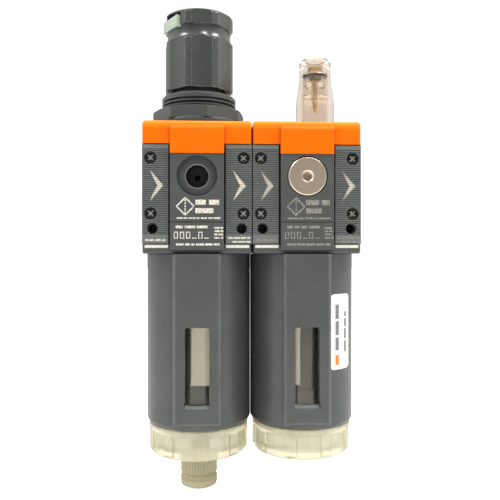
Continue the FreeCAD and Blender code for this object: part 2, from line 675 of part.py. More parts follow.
def port_plug():
    """A flanged plug for a front port, on the module's axis, with a hexagon socket."""
    seat = -PANEL_Y + GAUGE_RECESS
    front = -PANEL_Y - PLUG_PROUD
    head = cyl_y(PLUG_HEAD_R, (front, seat - SEAL_SLACK))
    rim = [e for e in head.Edges if len(e.Vertexes) == 1 and e.Vertexes[0].Y < -PANEL_Y]
    head = head.makeChamfer(PLUG_CHAMFER, rim)
    shank = cyl_y(G18_MINOR_R - RUN, (seat - PORT_LEAD_DEPTH, PLUG_END_Y))
    groove = cyl_y(PLUG_GROOVE_R, (seat - PLUG_GROOVE, seat))
    groove = groove.cut(cyl_y(G18_MINOR_R - FIT, (seat - OVER, seat + OVER)))
    hexagon = polygon_prism(PLUG_SOCKET_AF / math.sqrt(3), 6, 90, (-OVER, PLUG_SOCKET_DEPTH))
    hexagon.rotate(Vector(0, 0, 0), Vector(1, 0, 0), -90)
    lead = Part.makeCone(*PLUG_LEAD_R, PLUG_LEAD_DEPTH, Vector(0, front, 0), Vector(0, 1, 0))
    return at(head.fuse(shank).cut([groove, at(hexagon, y=front), lead]), z=GAUGE_Z)


def plug_seal():
    """The seal in the plug's face groove."""
    radius, section = PLUG_SEAL_R
    middle = -PANEL_Y + GAUGE_RECESS - section - 2 * SEAL_SLACK
    return Part.makeTorus(radius, section, Vector(0, middle, GAUGE_Z), Vector(0, 1, 0))


# ---- regulator ----
def collar_outline(low, high):
    """The collar for panel mounting: ring grooves in place of its thread, and a chamfered top."""
    depth, mouth, floor = THREAD_GROOVE
    outline = [(0, low), (COLLAR_R, low)]
    for k in reversed(range(THREAD_COUNT)):
        middle = high - THREAD_TOP - k * THREAD_PITCH
        outline += [(COLLAR_R, middle - mouth), (COLLAR_R - depth, middle - floor)]
        outline += [(COLLAR_R - depth, middle + floor), (COLLAR_R, middle + mouth)]
    return outline + [(COLLAR_R, high - COLLAR_EDGE), (COLLAR_R - COLLAR_EDGE, high), (0, high)]


def bonnet():
    """The spring housing: threaded spigot, octagon, panel-mounting collar and the tower inside the knob."""
    base_z, ring_z, octagon_z, collar_z = BONNET_Z
    inset, drop = OCTAGON_EDGE
    spigot = cyl(BONNET_SPIGOT_R, (DIAPHRAGM_Z + DIAPHRAGM_T + RUN, base_z))
    ring = turned([(0, base_z), (FLANGE_RING_R, base_z), (FLANGE_RING_R, ring_z - FLANGE_RING_EDGE),
                   (FLANGE_RING_R - FLANGE_RING_EDGE, ring_z), (0, ring_z)])
    octagon = polygon_prism(OCTAGON_R, 8, OCTAGON_PHASE - 90, (ring_z - OVER / 2, octagon_z))
    rounding = turned([(0, ring_z - OVER), (OCTAGON_R, ring_z - OVER), (OCTAGON_R, octagon_z - drop),
                       (OCTAGON_R - inset, octagon_z), (0, octagon_z)])
    tower = cyl(TOWER_R, (collar_z - OVER, TOWER_TOP_Z))
    r_in, r_out, low, high = BONNET_TOOTH
    teeth = around(sector(r_in, r_out, -LOCK_TOOTH_DEG / 2, LOCK_TOOTH_DEG, (low, high)), LOCK_TEETH)
    collar = turned(collar_outline(octagon_z - OVER, collar_z))
    body = spigot.fuse([ring, octagon.common(rounding), collar, tower] + teeth)
    cuts = [cyl(r, (start, end)) for r, start, end in BONNET_BORES]
    cuts.append(box((-KEYWAY[0], KEYWAY[0]), (-KEYWAY[1], KEYWAY[1]), BONNET_BORES[1][1:]))
    cuts.append(cyl_y(VENT_R, VENT_Y, z=VENT_Z))
    return body.cut(cuts).removeSplitter()


def knob_flutes():
    """The shallow hollows between the knob's lands."""
    half_flute = math.radians((360 / KNOB_LANDS - KNOB_LAND_DEG) / 2)
    chord_r, chord_half = KNOB_R * math.cos(half_flute), KNOB_R * math.sin(half_flute)
    cutter_r = (chord_half ** 2 + KNOB_FLUTE_DIP ** 2) / (2 * KNOB_FLUTE_DIP)
    cutter = cyl(cutter_r, (KNOB_Z[0] - OVER, KNOB_Z[3] + OVER), chord_r - KNOB_FLUTE_DIP + cutter_r)
    return around(cutter, KNOB_LANDS, KNOB_LAND_PHASE - 90 + 180 / KNOB_LANDS)


def knob_outline():
    """Outline of the knob: a tall band, a flared waist and a short upper band with a shallow dish on top."""
    bottom, band_top, upper_bottom, top = KNOB_Z
    reach, height, steps = KNOB_FLARE
    dish_r, dish = KNOB_DISH
    outline = [(0, bottom), (KNOB_R, bottom), (KNOB_R, band_top - KNOB_EDGE), (KNOB_R - KNOB_EDGE, band_top)]
    for k in range(1, steps + 1):
        share = k / steps
        outline.append((KNOB_NECK_R + reach * (1 - share) ** 2, band_top + share * height))
    outline += [(KNOB_NECK_R, upper_bottom), (KNOB_R, upper_bottom), (KNOB_R, top - KNOB_TOP_EDGE)]
    outline += [(KNOB_R - KNOB_EDGE, top - KNOB_EDGE), (KNOB_R - KNOB_TOP_EDGE, top), (dish_r, top)]
    return outline + [(dish_r - dish, top - dish), (0, top - dish)]


def adjusting_knob():
    """The fluted knob: two gripping bands, a smooth waist between them and a pocket for the lock tab."""
    cavity_r, cavity_top = KNOB_CAVITY
    pocket = box(POCKET_X, (-TAB_HALF - POCKET_SIDE, TAB_HALF + POCKET_SIDE), POCKET_Z)
    pocket.rotate(Vector(0, 0, 0), Vector(0, 0, 1), TAB_TURN)
    r_in, r_out, low, high = KNOB_TOOTH
    teeth = around(sector(r_in, r_out, KNOB_TOOTH_PHASE, LOCK_TOOTH_DEG, (low, high)), LOCK_TEETH)
    cavity = cyl(cavity_r, (KNOB_Z[0] - OVER, cavity_top)).cut(teeth)
    socket = polygon_prism(KNOB_SOCKET_R, 6, 0, KNOB_SOCKET_Z)
    return turned(knob_outline()).cut(knob_flutes()).cut([cavity, socket, pocket])


def lock_tab():
    """The pale tab that slides out of the knob to take a padlock, with the padlock's hole."""
    hole_r, hole_x, hole_y = TAB_HOLE
    plate = box(TAB_X, (-TAB_HALF, TAB_HALF), TAB_Z)
    plate = fillet_where(plate, TAB_ROUND, lambda a, b: near(a.x, TAB_X[1]) and near(b.x, TAB_X[1]))
    plate = plate.cut(cyl(hole_r, (TAB_Z[0] - OVER, TAB_Z[1] + OVER), hole_x, hole_y))
    plate.rotate(Vector(0, 0, 0), Vector(0, 0, 1), TAB_TURN)
    return plate


def adjusting_screw():
    """The captive screw: hexagon drive in the knob, thrust collar, threaded shank in the nut."""
    hexagon = polygon_prism(SCREW_HEX[0], 6, 0, SCREW_HEX[1:])
    collars = [cyl(r, (low, high)) for r, low, high in (SCREW_COLLAR, SCREW_JOURNAL)]
    return turned(SCREW_OUTLINE).fuse(collars + [hexagon])


def spring_nut():
    """The keyed nut that presses the main spring."""
    low, high = NUT_Z
    hub_r, hub_bottom = NUT_HUB
    keys = box((-NUT_KEY[0], NUT_KEY[0]), (-NUT_KEY[1], NUT_KEY[1]), NUT_Z)
    disc = cyl(NUT_R, NUT_Z).fuse([keys, cyl(hub_r, (hub_bottom, low + OVER / 2))])
    return disc.cut(cyl(NUT_BORE_R, (hub_bottom - OVER, high + OVER)))


def diaphragm():
    """The rubber disc clamped at its rim, with one convolution."""
    low, high = DIAPHRAGM_Z + 2 * SEAL_SLACK, DIAPHRAGM_Z + DIAPHRAGM_T
    start, middle, end, sag = CONVOLUTION
    return turned([(DIAPHRAGM_HOLE_R, low), (start, low), (middle, low - sag), (end, low),
                   (DIAPHRAGM_R, low), (DIAPHRAGM_R, high), (end, high), (middle, high - sag),
                   (start, high), (DIAPHRAGM_HOLE_R, high)])


def diaphragm_plate():
    """The spring plate riveted through the diaphragm, with the relief hole."""
    low, high = DIAPHRAGM_Z - 2 * SEAL_SLACK, DIAPHRAGM_Z + DIAPHRAGM_T + RUN
    lower_r, lower_t = PLATE_LOWER
    upper_r, upper_t = PLATE_UPPER
    hub_r, hub_t = PLATE_HUB
    return turned([(PLATE_RELIEF_R, low - lower_t), (lower_r, low - lower_t), (lower_r, low),
                   (PLATE_RIVET_R, low), (PLATE_RIVET_R, high), (upper_r, high), (upper_r, high + upper_t),
                   (hub_r, high + upper_t), (hub_r, high + hub_t), (PLATE_RELIEF_R, high + hub_t)])


def main_spring():
    """The setting spring between the diaphragm plate and the nut."""
    radius, wire_r, turns = MAIN_SPRING
    low = DIAPHRAGM_Z + DIAPHRAGM_T + RUN + PLATE_UPPER[1] + 2 * SEAL_SLACK
    return coil(radius, wire_r, low, NUT_Z[0] - 2 * SEAL_SLACK, turns)


def filter_holder():
    """The cage screwed in under the seat: spring seat, flange and hollow stud for the element."""
    cuts = [cyl(r, (low, high)) for r, low, high in HOLDER_BORES]
    slot = box((0, FLOW_R), (-HOLDER_SLOT_HALF, HOLDER_SLOT_HALF), HOLDER_SLOT_Z)
    return turned(HOLDER_OUTLINE).cut(cuts + around(slot, HOLDER_SLOTS, 45))


def cyclone_ring():
    """The ring of slanted vanes that spins the incoming air."""
    r_in, r_out, low, high = VANE_RING
    slot_r, slot_half = VANE_SLOT
    slot = box((slot_r, r_out + OVER), (-slot_half, slot_half), (low - 2 * OVER, high + 2 * OVER))
    slot.rotate(Vector(0, 0, (low + high) / 2), Vector(1, 0, 0), VANE_TILT)
    return tube(r_in, r_out, low, high).cut(around(slot, VANE_COUNT))


# ---- bowls, guards and drain ----
def bowl(rib_phase, drain_r):
    """A clear bowl with a plain neck and a ribbed grip skirt; drain_r is 0 where it has no drain."""
    bottom, top = SKIRT_Z
    groove_low, groove_high = NECK_GROOVE_Z
    outline = [
        (drain_r, bottom + 3.8), (14.5, bottom + 3.8), (16.2, bottom + 2.3), (16.6, bottom), (18.6, bottom),
        (SKIRT_R, bottom + 1.6), (SKIRT_R, top - 0.5), (SKIRT_R - 0.5, top), (BOWL_R, top), (BOWL_R, -21.6),
        (NECK_R + 1.6, GUARD_NECK_TOP_Z), (NECK_R, GUARD_NECK_TOP_Z), (NECK_R, groove_low),
        (NECK_R - NECK_GROOVE, groove_low), (NECK_R - NECK_GROOVE, groove_high), (NECK_R, groove_high),
        (NECK_R, NECK_TOP_Z - 0.4), (NECK_R - 0.4, NECK_TOP_Z), (NECK_BORE_R, NECK_TOP_Z),
        (NECK_BORE_R, -21.6), (BOWL_INNER_R, -24.2), (BOWL_INNER_R, -95.5), (5.2, -99.5), (drain_r, -99.5),
    ]
    pocket_z = (bottom - OVER, top - GRIP_LEDGE)
    pocket = sector(SKIRT_R - GRIP_POCKET, SKIRT_R + OVER, -GRIP_POCKET_DEG / 2, GRIP_POCKET_DEG, pocket_z)
    first_pocket = rib_phase - 90 + 180 / GRIP_COUNT
    return turned(outline).cut(around(pocket, GRIP_COUNT, first_pocket))


def guard():
    """The opaque bowl guard: bayonet neck, round shell, and a flat windowed pad front and rear."""
    inset, rise = GUARD_FOOT
    window_low, window_high = WINDOW_Z
    shell = turned([(0, GUARD_BOTTOM_Z), (GUARD_R - inset, GUARD_BOTTOM_Z), (GUARD_R, GUARD_BOTTOM_Z + rise),
                    (GUARD_R, GUARD_TOP_Z), (GUARD_NECK_R, GUARD_TOP_Z), (GUARD_NECK_R, GUARD_NECK_TOP_Z),
                    (0, GUARD_NECK_TOP_Z)])
    pads = []
    sills = []
    for side in (-1, 1):
        pad = box((-PAD_HALF, PAD_HALF), span(PAD_BACK_Y, PANEL_Y, side), (PAD_BOTTOM_Z, GUARD_TOP_Z))
        pads.append(fillet_where(pad, PAD_ROUND, lambda a, b: near(abs(a.y), PANEL_Y)
                                 and near(abs(b.y), PANEL_Y) and (upright(a, b) or a.z < window_low)))
        inner, face, outer = CORE_Y - OVER, PANEL_Y, PANEL_Y + OVER
        foot, head = window_low - SILL_DROP, window_low + OVER
        profile = [(inner, window_low), (face, foot), (outer, foot), (outer, head), (inner, head)]
        half = WINDOW_HALF + SILL_SIDE
        wire = Part.makePolygon([Vector(-half, side * y, z) for y, z in profile + profile[:1]])
        sills.append(Part.Face(wire).extrude(Vector(2 * half, 0, 0)))
    lugs = [sector(GUARD_NECK_R - OVER / 2, LUG_R, a - LUG_DEG / 2, LUG_DEG, LUG_Z) for a in LUG_ANGLES]
    window = box((-WINDOW_HALF, WINDOW_HALF), THROUGH_Y, WINDOW_Z)
    corners = [e for e in window.Edges if not near(*[v.Y for v in e.Vertexes])]
    window = window.makeFillet(WINDOW_ROUND, corners)
    inside = cyl(GUARD_INNER_R, (GUARD_BOTTOM_Z - OVER, GUARD_NECK_TOP_Z + OVER))
    return shell.fuse(pads + lugs).cut([inside, window] + sills).removeSplitter()


def drain_knob():
    """The knurled drain knob with a grip ring at its foot."""
    low, high = KNURL_Z
    cuts = [cyl(r, (start, end)) for r, start, end in DRAIN_KNOB_BORES]
    cuts += around(cyl(DRAIN_OUTLET_R, DRAIN_KNOB_BORES[1][1:], DRAIN_OUTLET_X), DRAIN_OUTLETS)
    half = KNURL_SIDE / 2
    notch = box((-half, half), (-half, half), (low, high))
    notch.rotate(Vector(0, 0, 0), Vector(0, 0, 1), 45)
    return turned(DRAIN_KNOB_OUTLINE).cut(cuts + around(at(notch, x=KNURL_X), KNURL_COUNT))


# ---- lubricator ----
def sight_dome():
    """The clear sight dome: straight foot, taper, open well at the top."""
    foot, taper, shoulder, edge, top = DOME_Z
    groove_low, groove_high = DOME_GROOVE_Z
    well_r, well_z = DOME_WELL
    guide_r, guide_z = DOME_GUIDE
    groove_r = DOME_R - DOME_GROOVE
    return turned([(DOME_BORE_R, foot), (DOME_R, foot), (DOME_R, groove_low), (groove_r, groove_low),
                   (groove_r, groove_high), (DOME_R, groove_high), (DOME_R, taper), (DOME_TOP_R, shoulder),
                   (DOME_TOP_R, edge), (DOME_TOP_R - DOME_EDGE, top), (well_r, top), (well_r, well_z),
                   (guide_r, well_z), (guide_r, guide_z), (DOME_BORE_R, guide_z)])


def needle_screw():
    """The brass drip-rate needle with its slotted head."""
    slot_half, slot_z = NEEDLE_SLOT
    slot = box((-DOME_BORE_R, DOME_BORE_R), (-slot_half, slot_half), (slot_z, slot_z + OVER))
    return turned(NEEDLE_OUTLINE).cut(slot)


def venturi_insert():
    """The flow insert in the lubricator's bore, with a pocket for the flap's hinge."""
    outer_r, mouth_r, bore_r = VENTURI_R
    pin_x, pin_z, pin_r, pin_half = FLAP_PIN
    start, end, half, low, high = FLAP_POCKET
    body = cyl_x(outer_r, (-VENTURI_HALF, VENTURI_HALF))
    body = body.cut(cyl_x(bore_r, (-VENTURI_HALF - OVER, VENTURI_HALF + OVER)))
    lead = Part.makeCone(mouth_r, bore_r, VENTURI_LEAD, Vector(-VENTURI_HALF, 0, 0), Vector(1, 0, 0))
    cuts = [lead, box((start, end), (-half, half), (low, high))]
    cuts.append(cyl(DRIP_WAY_R, (0, outer_r + OVER), DOME_X))
    return body.cut(cuts + [cyl_y(pin_r + 2 * SEAL_SLACK, (-pin_half - FIT, pin_half + FIT), pin_x, pin_z)])


def flow_flap():
    """The flap that lifts with the air flow, hung from a pin at its top."""
    pin_x, pin_z = FLAP_PIN[:2]
    eye_r, eye_bore_r, half = FLAP_EYE
    disc = cyl_x(FLAP_R, FLAP_X).cut(box((-FLAP_R, FLAP_R), (-FLAP_R, FLAP_R), (FLAP_TOP_Z, FLAP_R + OVER)))
    eye = cyl_y(eye_r, (-half, half), pin_x, pin_z)
    web = box(FLAP_X, (-half, half), (FLAP_TOP_Z - FIT, pin_z))
    return disc.fuse([eye, web]).cut(cyl_y(eye_bore_r, (-half - OVER, half + OVER), pin_x, pin_z))


def check_ball(x, y):
    """The ball that stops the oil running back, just above its seat's rim."""
    seat_r, low, high = BALL_SEAT
    rise = math.sqrt(BALL_R ** 2 - seat_r ** 2) + BALL_GAP
    return Part.makeSphere(BALL_R, Vector(x, y, high + rise))


# ---- assembly ----
def save_modules():
    """Bodies, caps, plates, screws and port pieces."""
    save("filter_body", at(filter_body(), FILTER_X))
    save("oiler_body", at(oiler_body(), OILER_X))
    save("filter_cap", at(top_cap(FILTER_CAP_HOLE_R, 0), FILTER_X))
    save("oiler_cap", at(top_cap(DOME_R + DOME_HOLE_SLACK, DOME_X), OILER_X))
    for name, x in (("filter", FILTER_X), ("oiler", OILER_X)):
        save(name + "_front_plates", *[at(p, x) for p in plate_set(True)])
        save(name + "_rear_plates", *[at(mirrored_y(p), x) for p in plate_set(False)])
    screw = plate_screw()
    levels = (-SCREW_Z, SCREW_Z)
    places = [(x + s * SCREW_X, z) for x in (FILTER_X, OILER_X) for s in (-1, 1) for z in levels]
    save("plate_screws", *[at(screw, x, 0, z) for x, z in places])
    save("inlet_flange", port_flange())
    save("joining_flange", joining_flange())
    save("outlet_flange", at(mirrored_x(port_flange()), OUTLET_X))
    ring_x = sum(SPIGOT_GROOVE_X) / 2
    rings = (ring_x, PITCH - ring_x, PITCH + ring_x, OUTLET_X - ring_x)
    save("flange_seals", *[flange_seal(x) for x in rings])
    save("oil_fill_plug", at(port_plug(), OILER_X))
    save("plug_seal", at(plug_seal(), OILER_X))


def save_regulator():
    """Everything on the filter regulator's axis above the bowl."""
    pieces = {
        "bonnet": bonnet(),
        "adjusting_knob": adjusting_knob(),
        "lock_tab": lock_tab(),
        "adjusting_screw": adjusting_screw(),
        "thrust_washer": tube(*THRUST_WASHER),
        "spring_nut": spring_nut(),
        "main_spring": main_spring(),
        "diaphragm": diaphragm(),
        "diaphragm_plate": diaphragm_plate(),
        "valve_poppet": turned(POPPET_OUTLINE),
        "poppet_seal": tube(*POPPET_SEAL),
        "poppet_spring": coil(*POPPET_SPRING),
        "filter_holder": filter_holder(),
        "cyclone_ring": cyclone_ring(),
        "filter_element": tube(*ELEMENT),
        "filter_baffle": turned(BAFFLE_OUTLINE),
    }
    for node, solid in pieces.items():
        save(node, at(solid, FILTER_X))


def save_bowls():
    """Bowls, guards, seals and the drain."""
    seal = o_ring(NECK_R + NECK_SLACK, NECK_R - NECK_GROOVE, sum(NECK_GROOVE_Z) / 2)
    for name, x, rib_phase, drain_r in (("filter", FILTER_X, FILTER_RIB_PHASE, DRAIN_BORE_R),
                                        ("oiler", OILER_X, OILER_RIB_PHASE, 0)):
        save(name + "_bowl", at(bowl(rib_phase, drain_r), x))
        save(name + "_bowl_seal", at(seal, x))
        save(name + "_guard", at(guard(), x))
    pieces = {
        "drain_bush": turned(DRAIN_BUSH_OUTLINE),
        "drain_stem": turned(DRAIN_STEM_OUTLINE),
        "drain_clip": tube(*DRAIN_CLIP),
        "drain_seal": tube(*DRAIN_SEAL),
        "drain_spring": coil(*DRAIN_SPRING),
        "drain_knob": drain_knob(),
    }
    for node, solid in pieces.items():
        save(node, at(solid, FILTER_X))


def save_oiler():
    """The lubricator's sight dome, needle, flow insert and oil pick-up."""
    dome_x = OILER_X + DOME_X
    tube_x = OILER_X + TUBE_X
    groove_r, housing_seal_z = HOUSING_SEAL
    needle_bore_r, needle_groove_r, needle_seal_z = NEEDLE_SEAL
    pin_x, pin_z, pin_r, pin_half = FLAP_PIN
    save("sight_dome", at(sight_dome(), dome_x))
    save("dome_seal", o_ring(DOME_R + FIT, DOME_R - DOME_GROOVE, DOME_SEAL_Z, dome_x))
    save("needle_housing", at(turned(HOUSING_OUTLINE), dome_x))
    save("housing_seal", o_ring(DOME_BORE_R, groove_r, housing_seal_z, dome_x))
    save("needle_screw", at(needle_screw(), dome_x))
    save("needle_seal", o_ring(needle_bore_r, needle_groove_r, needle_seal_z, dome_x))
    save("drip_seat", tube(*DRIP_SEAT, dome_x))
    save("venturi_insert", at(venturi_insert(), OILER_X))
    save("flow_flap", at(flow_flap(), OILER_X))
    save("flap_pin", at(cyl_y(pin_r, (-pin_half, pin_half), pin_x, pin_z), OILER_X))
    save("oil_tube", tube(TUBE_BORE_R, TUBE_R, *TUBE_Z, tube_x, TUBE_Y))
    save("oil_strainer", at(turned(STRAINER_OUTLINE), tube_x, TUBE_Y))
    save("ball_seat", tube(BALL_SEAT[0], TUBE_R, *BALL_SEAT[1:], tube_x, TUBE_Y))
    save("check_ball", check_ball(tube_x, TUBE_Y))


os.makedirs("parts", exist_ok=True)
save_modules()
save_regulator()
save_bowls()
save_oiler()
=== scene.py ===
import json
import math
import random

import bpy
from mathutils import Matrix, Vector


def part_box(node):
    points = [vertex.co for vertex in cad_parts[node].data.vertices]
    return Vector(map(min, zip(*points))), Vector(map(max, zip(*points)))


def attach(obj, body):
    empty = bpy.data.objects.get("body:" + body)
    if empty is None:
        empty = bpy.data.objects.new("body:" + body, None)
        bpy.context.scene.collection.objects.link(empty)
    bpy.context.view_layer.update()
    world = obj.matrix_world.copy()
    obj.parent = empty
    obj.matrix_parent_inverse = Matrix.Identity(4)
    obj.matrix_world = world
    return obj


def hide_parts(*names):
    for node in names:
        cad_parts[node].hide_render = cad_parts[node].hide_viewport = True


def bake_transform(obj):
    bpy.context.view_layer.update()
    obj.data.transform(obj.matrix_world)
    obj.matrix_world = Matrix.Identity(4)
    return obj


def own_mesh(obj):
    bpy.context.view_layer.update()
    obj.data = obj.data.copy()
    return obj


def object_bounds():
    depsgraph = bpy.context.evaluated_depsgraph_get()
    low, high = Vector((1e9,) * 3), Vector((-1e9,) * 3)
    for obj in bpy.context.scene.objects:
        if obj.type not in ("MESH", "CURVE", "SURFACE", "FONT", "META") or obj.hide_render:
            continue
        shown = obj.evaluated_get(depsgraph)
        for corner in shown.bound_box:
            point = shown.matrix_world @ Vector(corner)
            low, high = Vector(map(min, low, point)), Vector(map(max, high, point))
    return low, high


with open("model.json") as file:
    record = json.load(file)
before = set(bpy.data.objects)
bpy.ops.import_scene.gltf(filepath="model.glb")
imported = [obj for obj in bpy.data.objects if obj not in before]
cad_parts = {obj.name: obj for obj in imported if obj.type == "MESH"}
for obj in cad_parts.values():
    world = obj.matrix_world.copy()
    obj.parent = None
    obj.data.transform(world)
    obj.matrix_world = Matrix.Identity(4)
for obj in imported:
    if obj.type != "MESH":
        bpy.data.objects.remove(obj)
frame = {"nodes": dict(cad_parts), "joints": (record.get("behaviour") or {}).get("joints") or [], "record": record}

MM = 0.001
cad_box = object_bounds()

# Module axes and the planes that marks lie on or start from, all taken from the frame (metres).
NODES = frame["nodes"]
JOINTS = {joint["name"]: joint for joint in frame["joints"]}
MOUNTS = {mount["name"]: mount for mount in frame["record"]["mounts"]}
FILTER_X = JOINTS["filter_bowl_turn"]["pos_m"][0]
OILER_X = JOINTS["oiler_bowl_turn"]["pos_m"][0]
PITCH = OILER_X - FILTER_X
PORT_Z = MOUNTS["gauge_port"]["pos_m"][2]
PANEL_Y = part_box("filter_body")[0].y
PLATE_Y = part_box("filter_front_plates")[0].y
SCREW_HEAD_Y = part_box("plate_screws")[0].y
CAP_TOP_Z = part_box("filter_cap")[1].z
GUARD_FOOT_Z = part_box("filter_guard")[0].z
GUARD_R = OILER_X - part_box("oiler_guard")[0].x

# Colours are linear.
CREAM = (0.79, 0.74, 0.62, 1.0)
FAINT_CREAM = (0.36, 0.32, 0.25, 1)
GREY = (0.066, 0.071, 0.067)
# Painted shade deep in the open port.
PORT_SHADE_COLOR = (0.004, 0.003, 0.003)
# Painted light along the cap's top.
TOP_LIGHT_COLOR = (1.0, 0.36, 0.03)
THIN_GLASS = (0.45, 0.43, 0.365)

# Noise patterns: size in millimetres, detail, and the noise values that count as none and as full.
# Patches where edges are painted lighter: partly worn by rubbing, partly painted highlight.
WEAR_AND_SHEEN_PATCHES = (1.4, 4, 0.35, 0.75)
FLOW_BLOTCHES = (9.0, 3, 0.3, 0.7)
SHINE_PATCHES = (2.5, 3, 0.3, 0.7)
TARNISH_STAINS = (3.0, 4, 0.35, 0.75)
CLEAR_SMEARS = (1.2, 4, 0.35, 0.8)
FLOW_STREAKS = (5.0, 2, 0.25, 0.75)
INK_LOSS = (0.35, 5, 0.30, 0.48)
# Patches of the painted highlight along the guards' pad borders.
BORDER_HIGHLIGHT_PATCHES = (6.0, 2, 0.3, 0.6)

# How open a place must be to count as a dark hollow and as an open face, and how dark the painted shade in a
# hollow is.
PLASTIC_CREVICE, PLASTIC_CREVICE_SHADE = (0.25, 0.8), 0.3
METAL_HOLLOW, METAL_HOLLOW_SHADE, METAL_HOLLOW_REACH = (0.1, 0.7), 0.12, 2.5

PLASTIC_IOR = 1.5
MATT = 0.5


# ---- node trees ----
class Tree:
    """A node tree. Every input takes a number, a colour or another node's output. Lengths are millimetres."""

    def __init__(self, name, owner=None):
        self.material = owner or bpy.data.materials.new(name)
        self.material.use_nodes = True
        self.nodes = self.material.node_tree.nodes
        self.links = self.material.node_tree.links
        self.nodes.clear()
        self.place = self.add("ShaderNodeTexCoord").outputs["Object"]

    def add(self, kind, inputs=None, **settings):
        """A new node with its settings and its inputs, which are given by name or number."""
        node = self.nodes.new(kind)
        for key, value in settings.items():
            setattr(node, key, value)
        for key, value in (inputs or {}).items():
            socket = node.inputs[key]
            if isinstance(value, bpy.types.NodeSocket):
                self.links.new(value, socket)
            else:
                socket.default_value = value
        return node

    def math(self, operation, a, b=0.0, c=0.0):
        """One scalar operation."""
        return self.add("ShaderNodeMath", {0: a, 1: b, 2: c}, operation=operation).outputs[0]

    def product(self, first, *others):
        """All the given values multiplied."""
        for other in others:
            first = self.math("MULTIPLY", first, other)
        return first

    def noise(self, size, detail=2.0, stretch=(1, 1, 1)):
        """Noise whose features are about size across, stretched along an axis if asked."""
        scaled = self.add("ShaderNodeMapping", {"Vector": self.place, "Scale": [1 / s for s in stretch]})
        return self.add("ShaderNodeTexNoise", {"Vector": scaled.outputs[0], "Scale": 1 / (size * MM),
                                               "Detail": detail}).outputs["Fac"]

    def ramp(self, value, low, high, out_low=0.0, out_high=1.0):
        """A clamped linear change from out_low to out_high as value goes from low to high."""
        inputs = {0: value, 1: low, 2: high, 3: out_low, 4: out_high}
        return self.add("ShaderNodeMapRange", inputs).outputs[0]

    def share(self, value, out_none, out_full):
        """Goes from out_none to out_full as value goes from 0 to 1."""
        return self.ramp(value, 0, 1, out_none, out_full)

    def pattern(self, kind, out_none=0.0, out_full=1.0, stretch=(1, 1, 1)):
        """One of the noise patterns above, from out_none to out_full."""
        size, detail, low, high = kind
        return self.ramp(self.noise(size, detail, stretch), low, high, out_none, out_full)

    def axis(self, number):
        """One coordinate of the place on the object, in metres."""
        return self.add("ShaderNodeSeparateXYZ", {0: self.place}).outputs[number]

    def mix(self, share, a, b):
        """A colour between a and b."""
        node = self.add("ShaderNodeMix", data_type="RGBA")
        for key, value in ((0, share), (6, a), (7, b)):
            if isinstance(value, bpy.types.NodeSocket):
                self.links.new(value, node.inputs[key])
            else:
                node.inputs[key].default_value = shade(value, 1.0) if key else value
        return node.outputs[2]

    def mix_number(self, share, a, b):
        """A number between a and b."""
        return self.add("ShaderNodeMix", {0: share, 2: a, 3: b}).outputs[0]

    def rounded(self, radius):
        """The surface normal with its sharp edges rounded off."""
        return self.add("ShaderNodeBevel", {"Radius": radius * MM}, samples=4).outputs[0]

    def bump(self, height, depth, normal):
        """The normal over a height from 0 to 1 that is depth deep."""
        inputs = {"Height": height, "Distance": depth * MM, "Normal": normal}
        return self.add("ShaderNodeBump", inputs).outputs[0]

    def edges(self, normal, faint=0.995, full=0.85):
        """A mask that is 1 along sharp edges and 0 on open faces; faint and full are cosines of the turn."""
        flat = self.add("ShaderNodeNewGeometry").outputs["Normal"]
        dot = self.add("ShaderNodeVectorMath", {0: flat, 1: normal}, operation="DOT_PRODUCT").outputs["Value"]
        return self.ramp(dot, faint, full)

    def openness(self, reach):
        """1 where nothing stands within reach of the surface, less in hollows."""
        return self.add("ShaderNodeAmbientOcclusion", {"Distance": reach * MM}, samples=6).outputs["AO"]

    def principled(self, inputs):
        """A general shader."""
        return self.add("ShaderNodeBsdfPrincipled", inputs).outputs[0]

    def translucent(self, color, normal):
        """A shader that lets light through diffusely."""
        return self.add("ShaderNodeBsdfTranslucent", {"Color": color, "Normal": normal}).outputs[0]

    def mix_shader(self, share, a, b):
        """A shader between a and b."""
        return self.add("ShaderNodeMixShader", {0: share, 1: a, 2: b}).outputs[0]

    def finish(self, shader):
        """Makes shader the material's surface."""
        self.add("ShaderNodeOutputMaterial", {"Surface": shader})
        return self.material

    def finish_clear(self, shader, color):
        """Makes shader the surface of a clear part: shadow rays pass straight through it, tinted."""
        through = self.add("ShaderNodeBsdfTransparent", {"Color": shade(color, 0.95)}).outputs[0]
        shadow = self.add("ShaderNodeLightPath").outputs["Is Shadow Ray"]
        return self.finish(self.mix_shader(shadow, shader, through))


def shade(color, factor):
    """A colour made lighter or darker, with full alpha."""
    return [min(1.0, c * factor) for c in color[:3]] + [1.0]


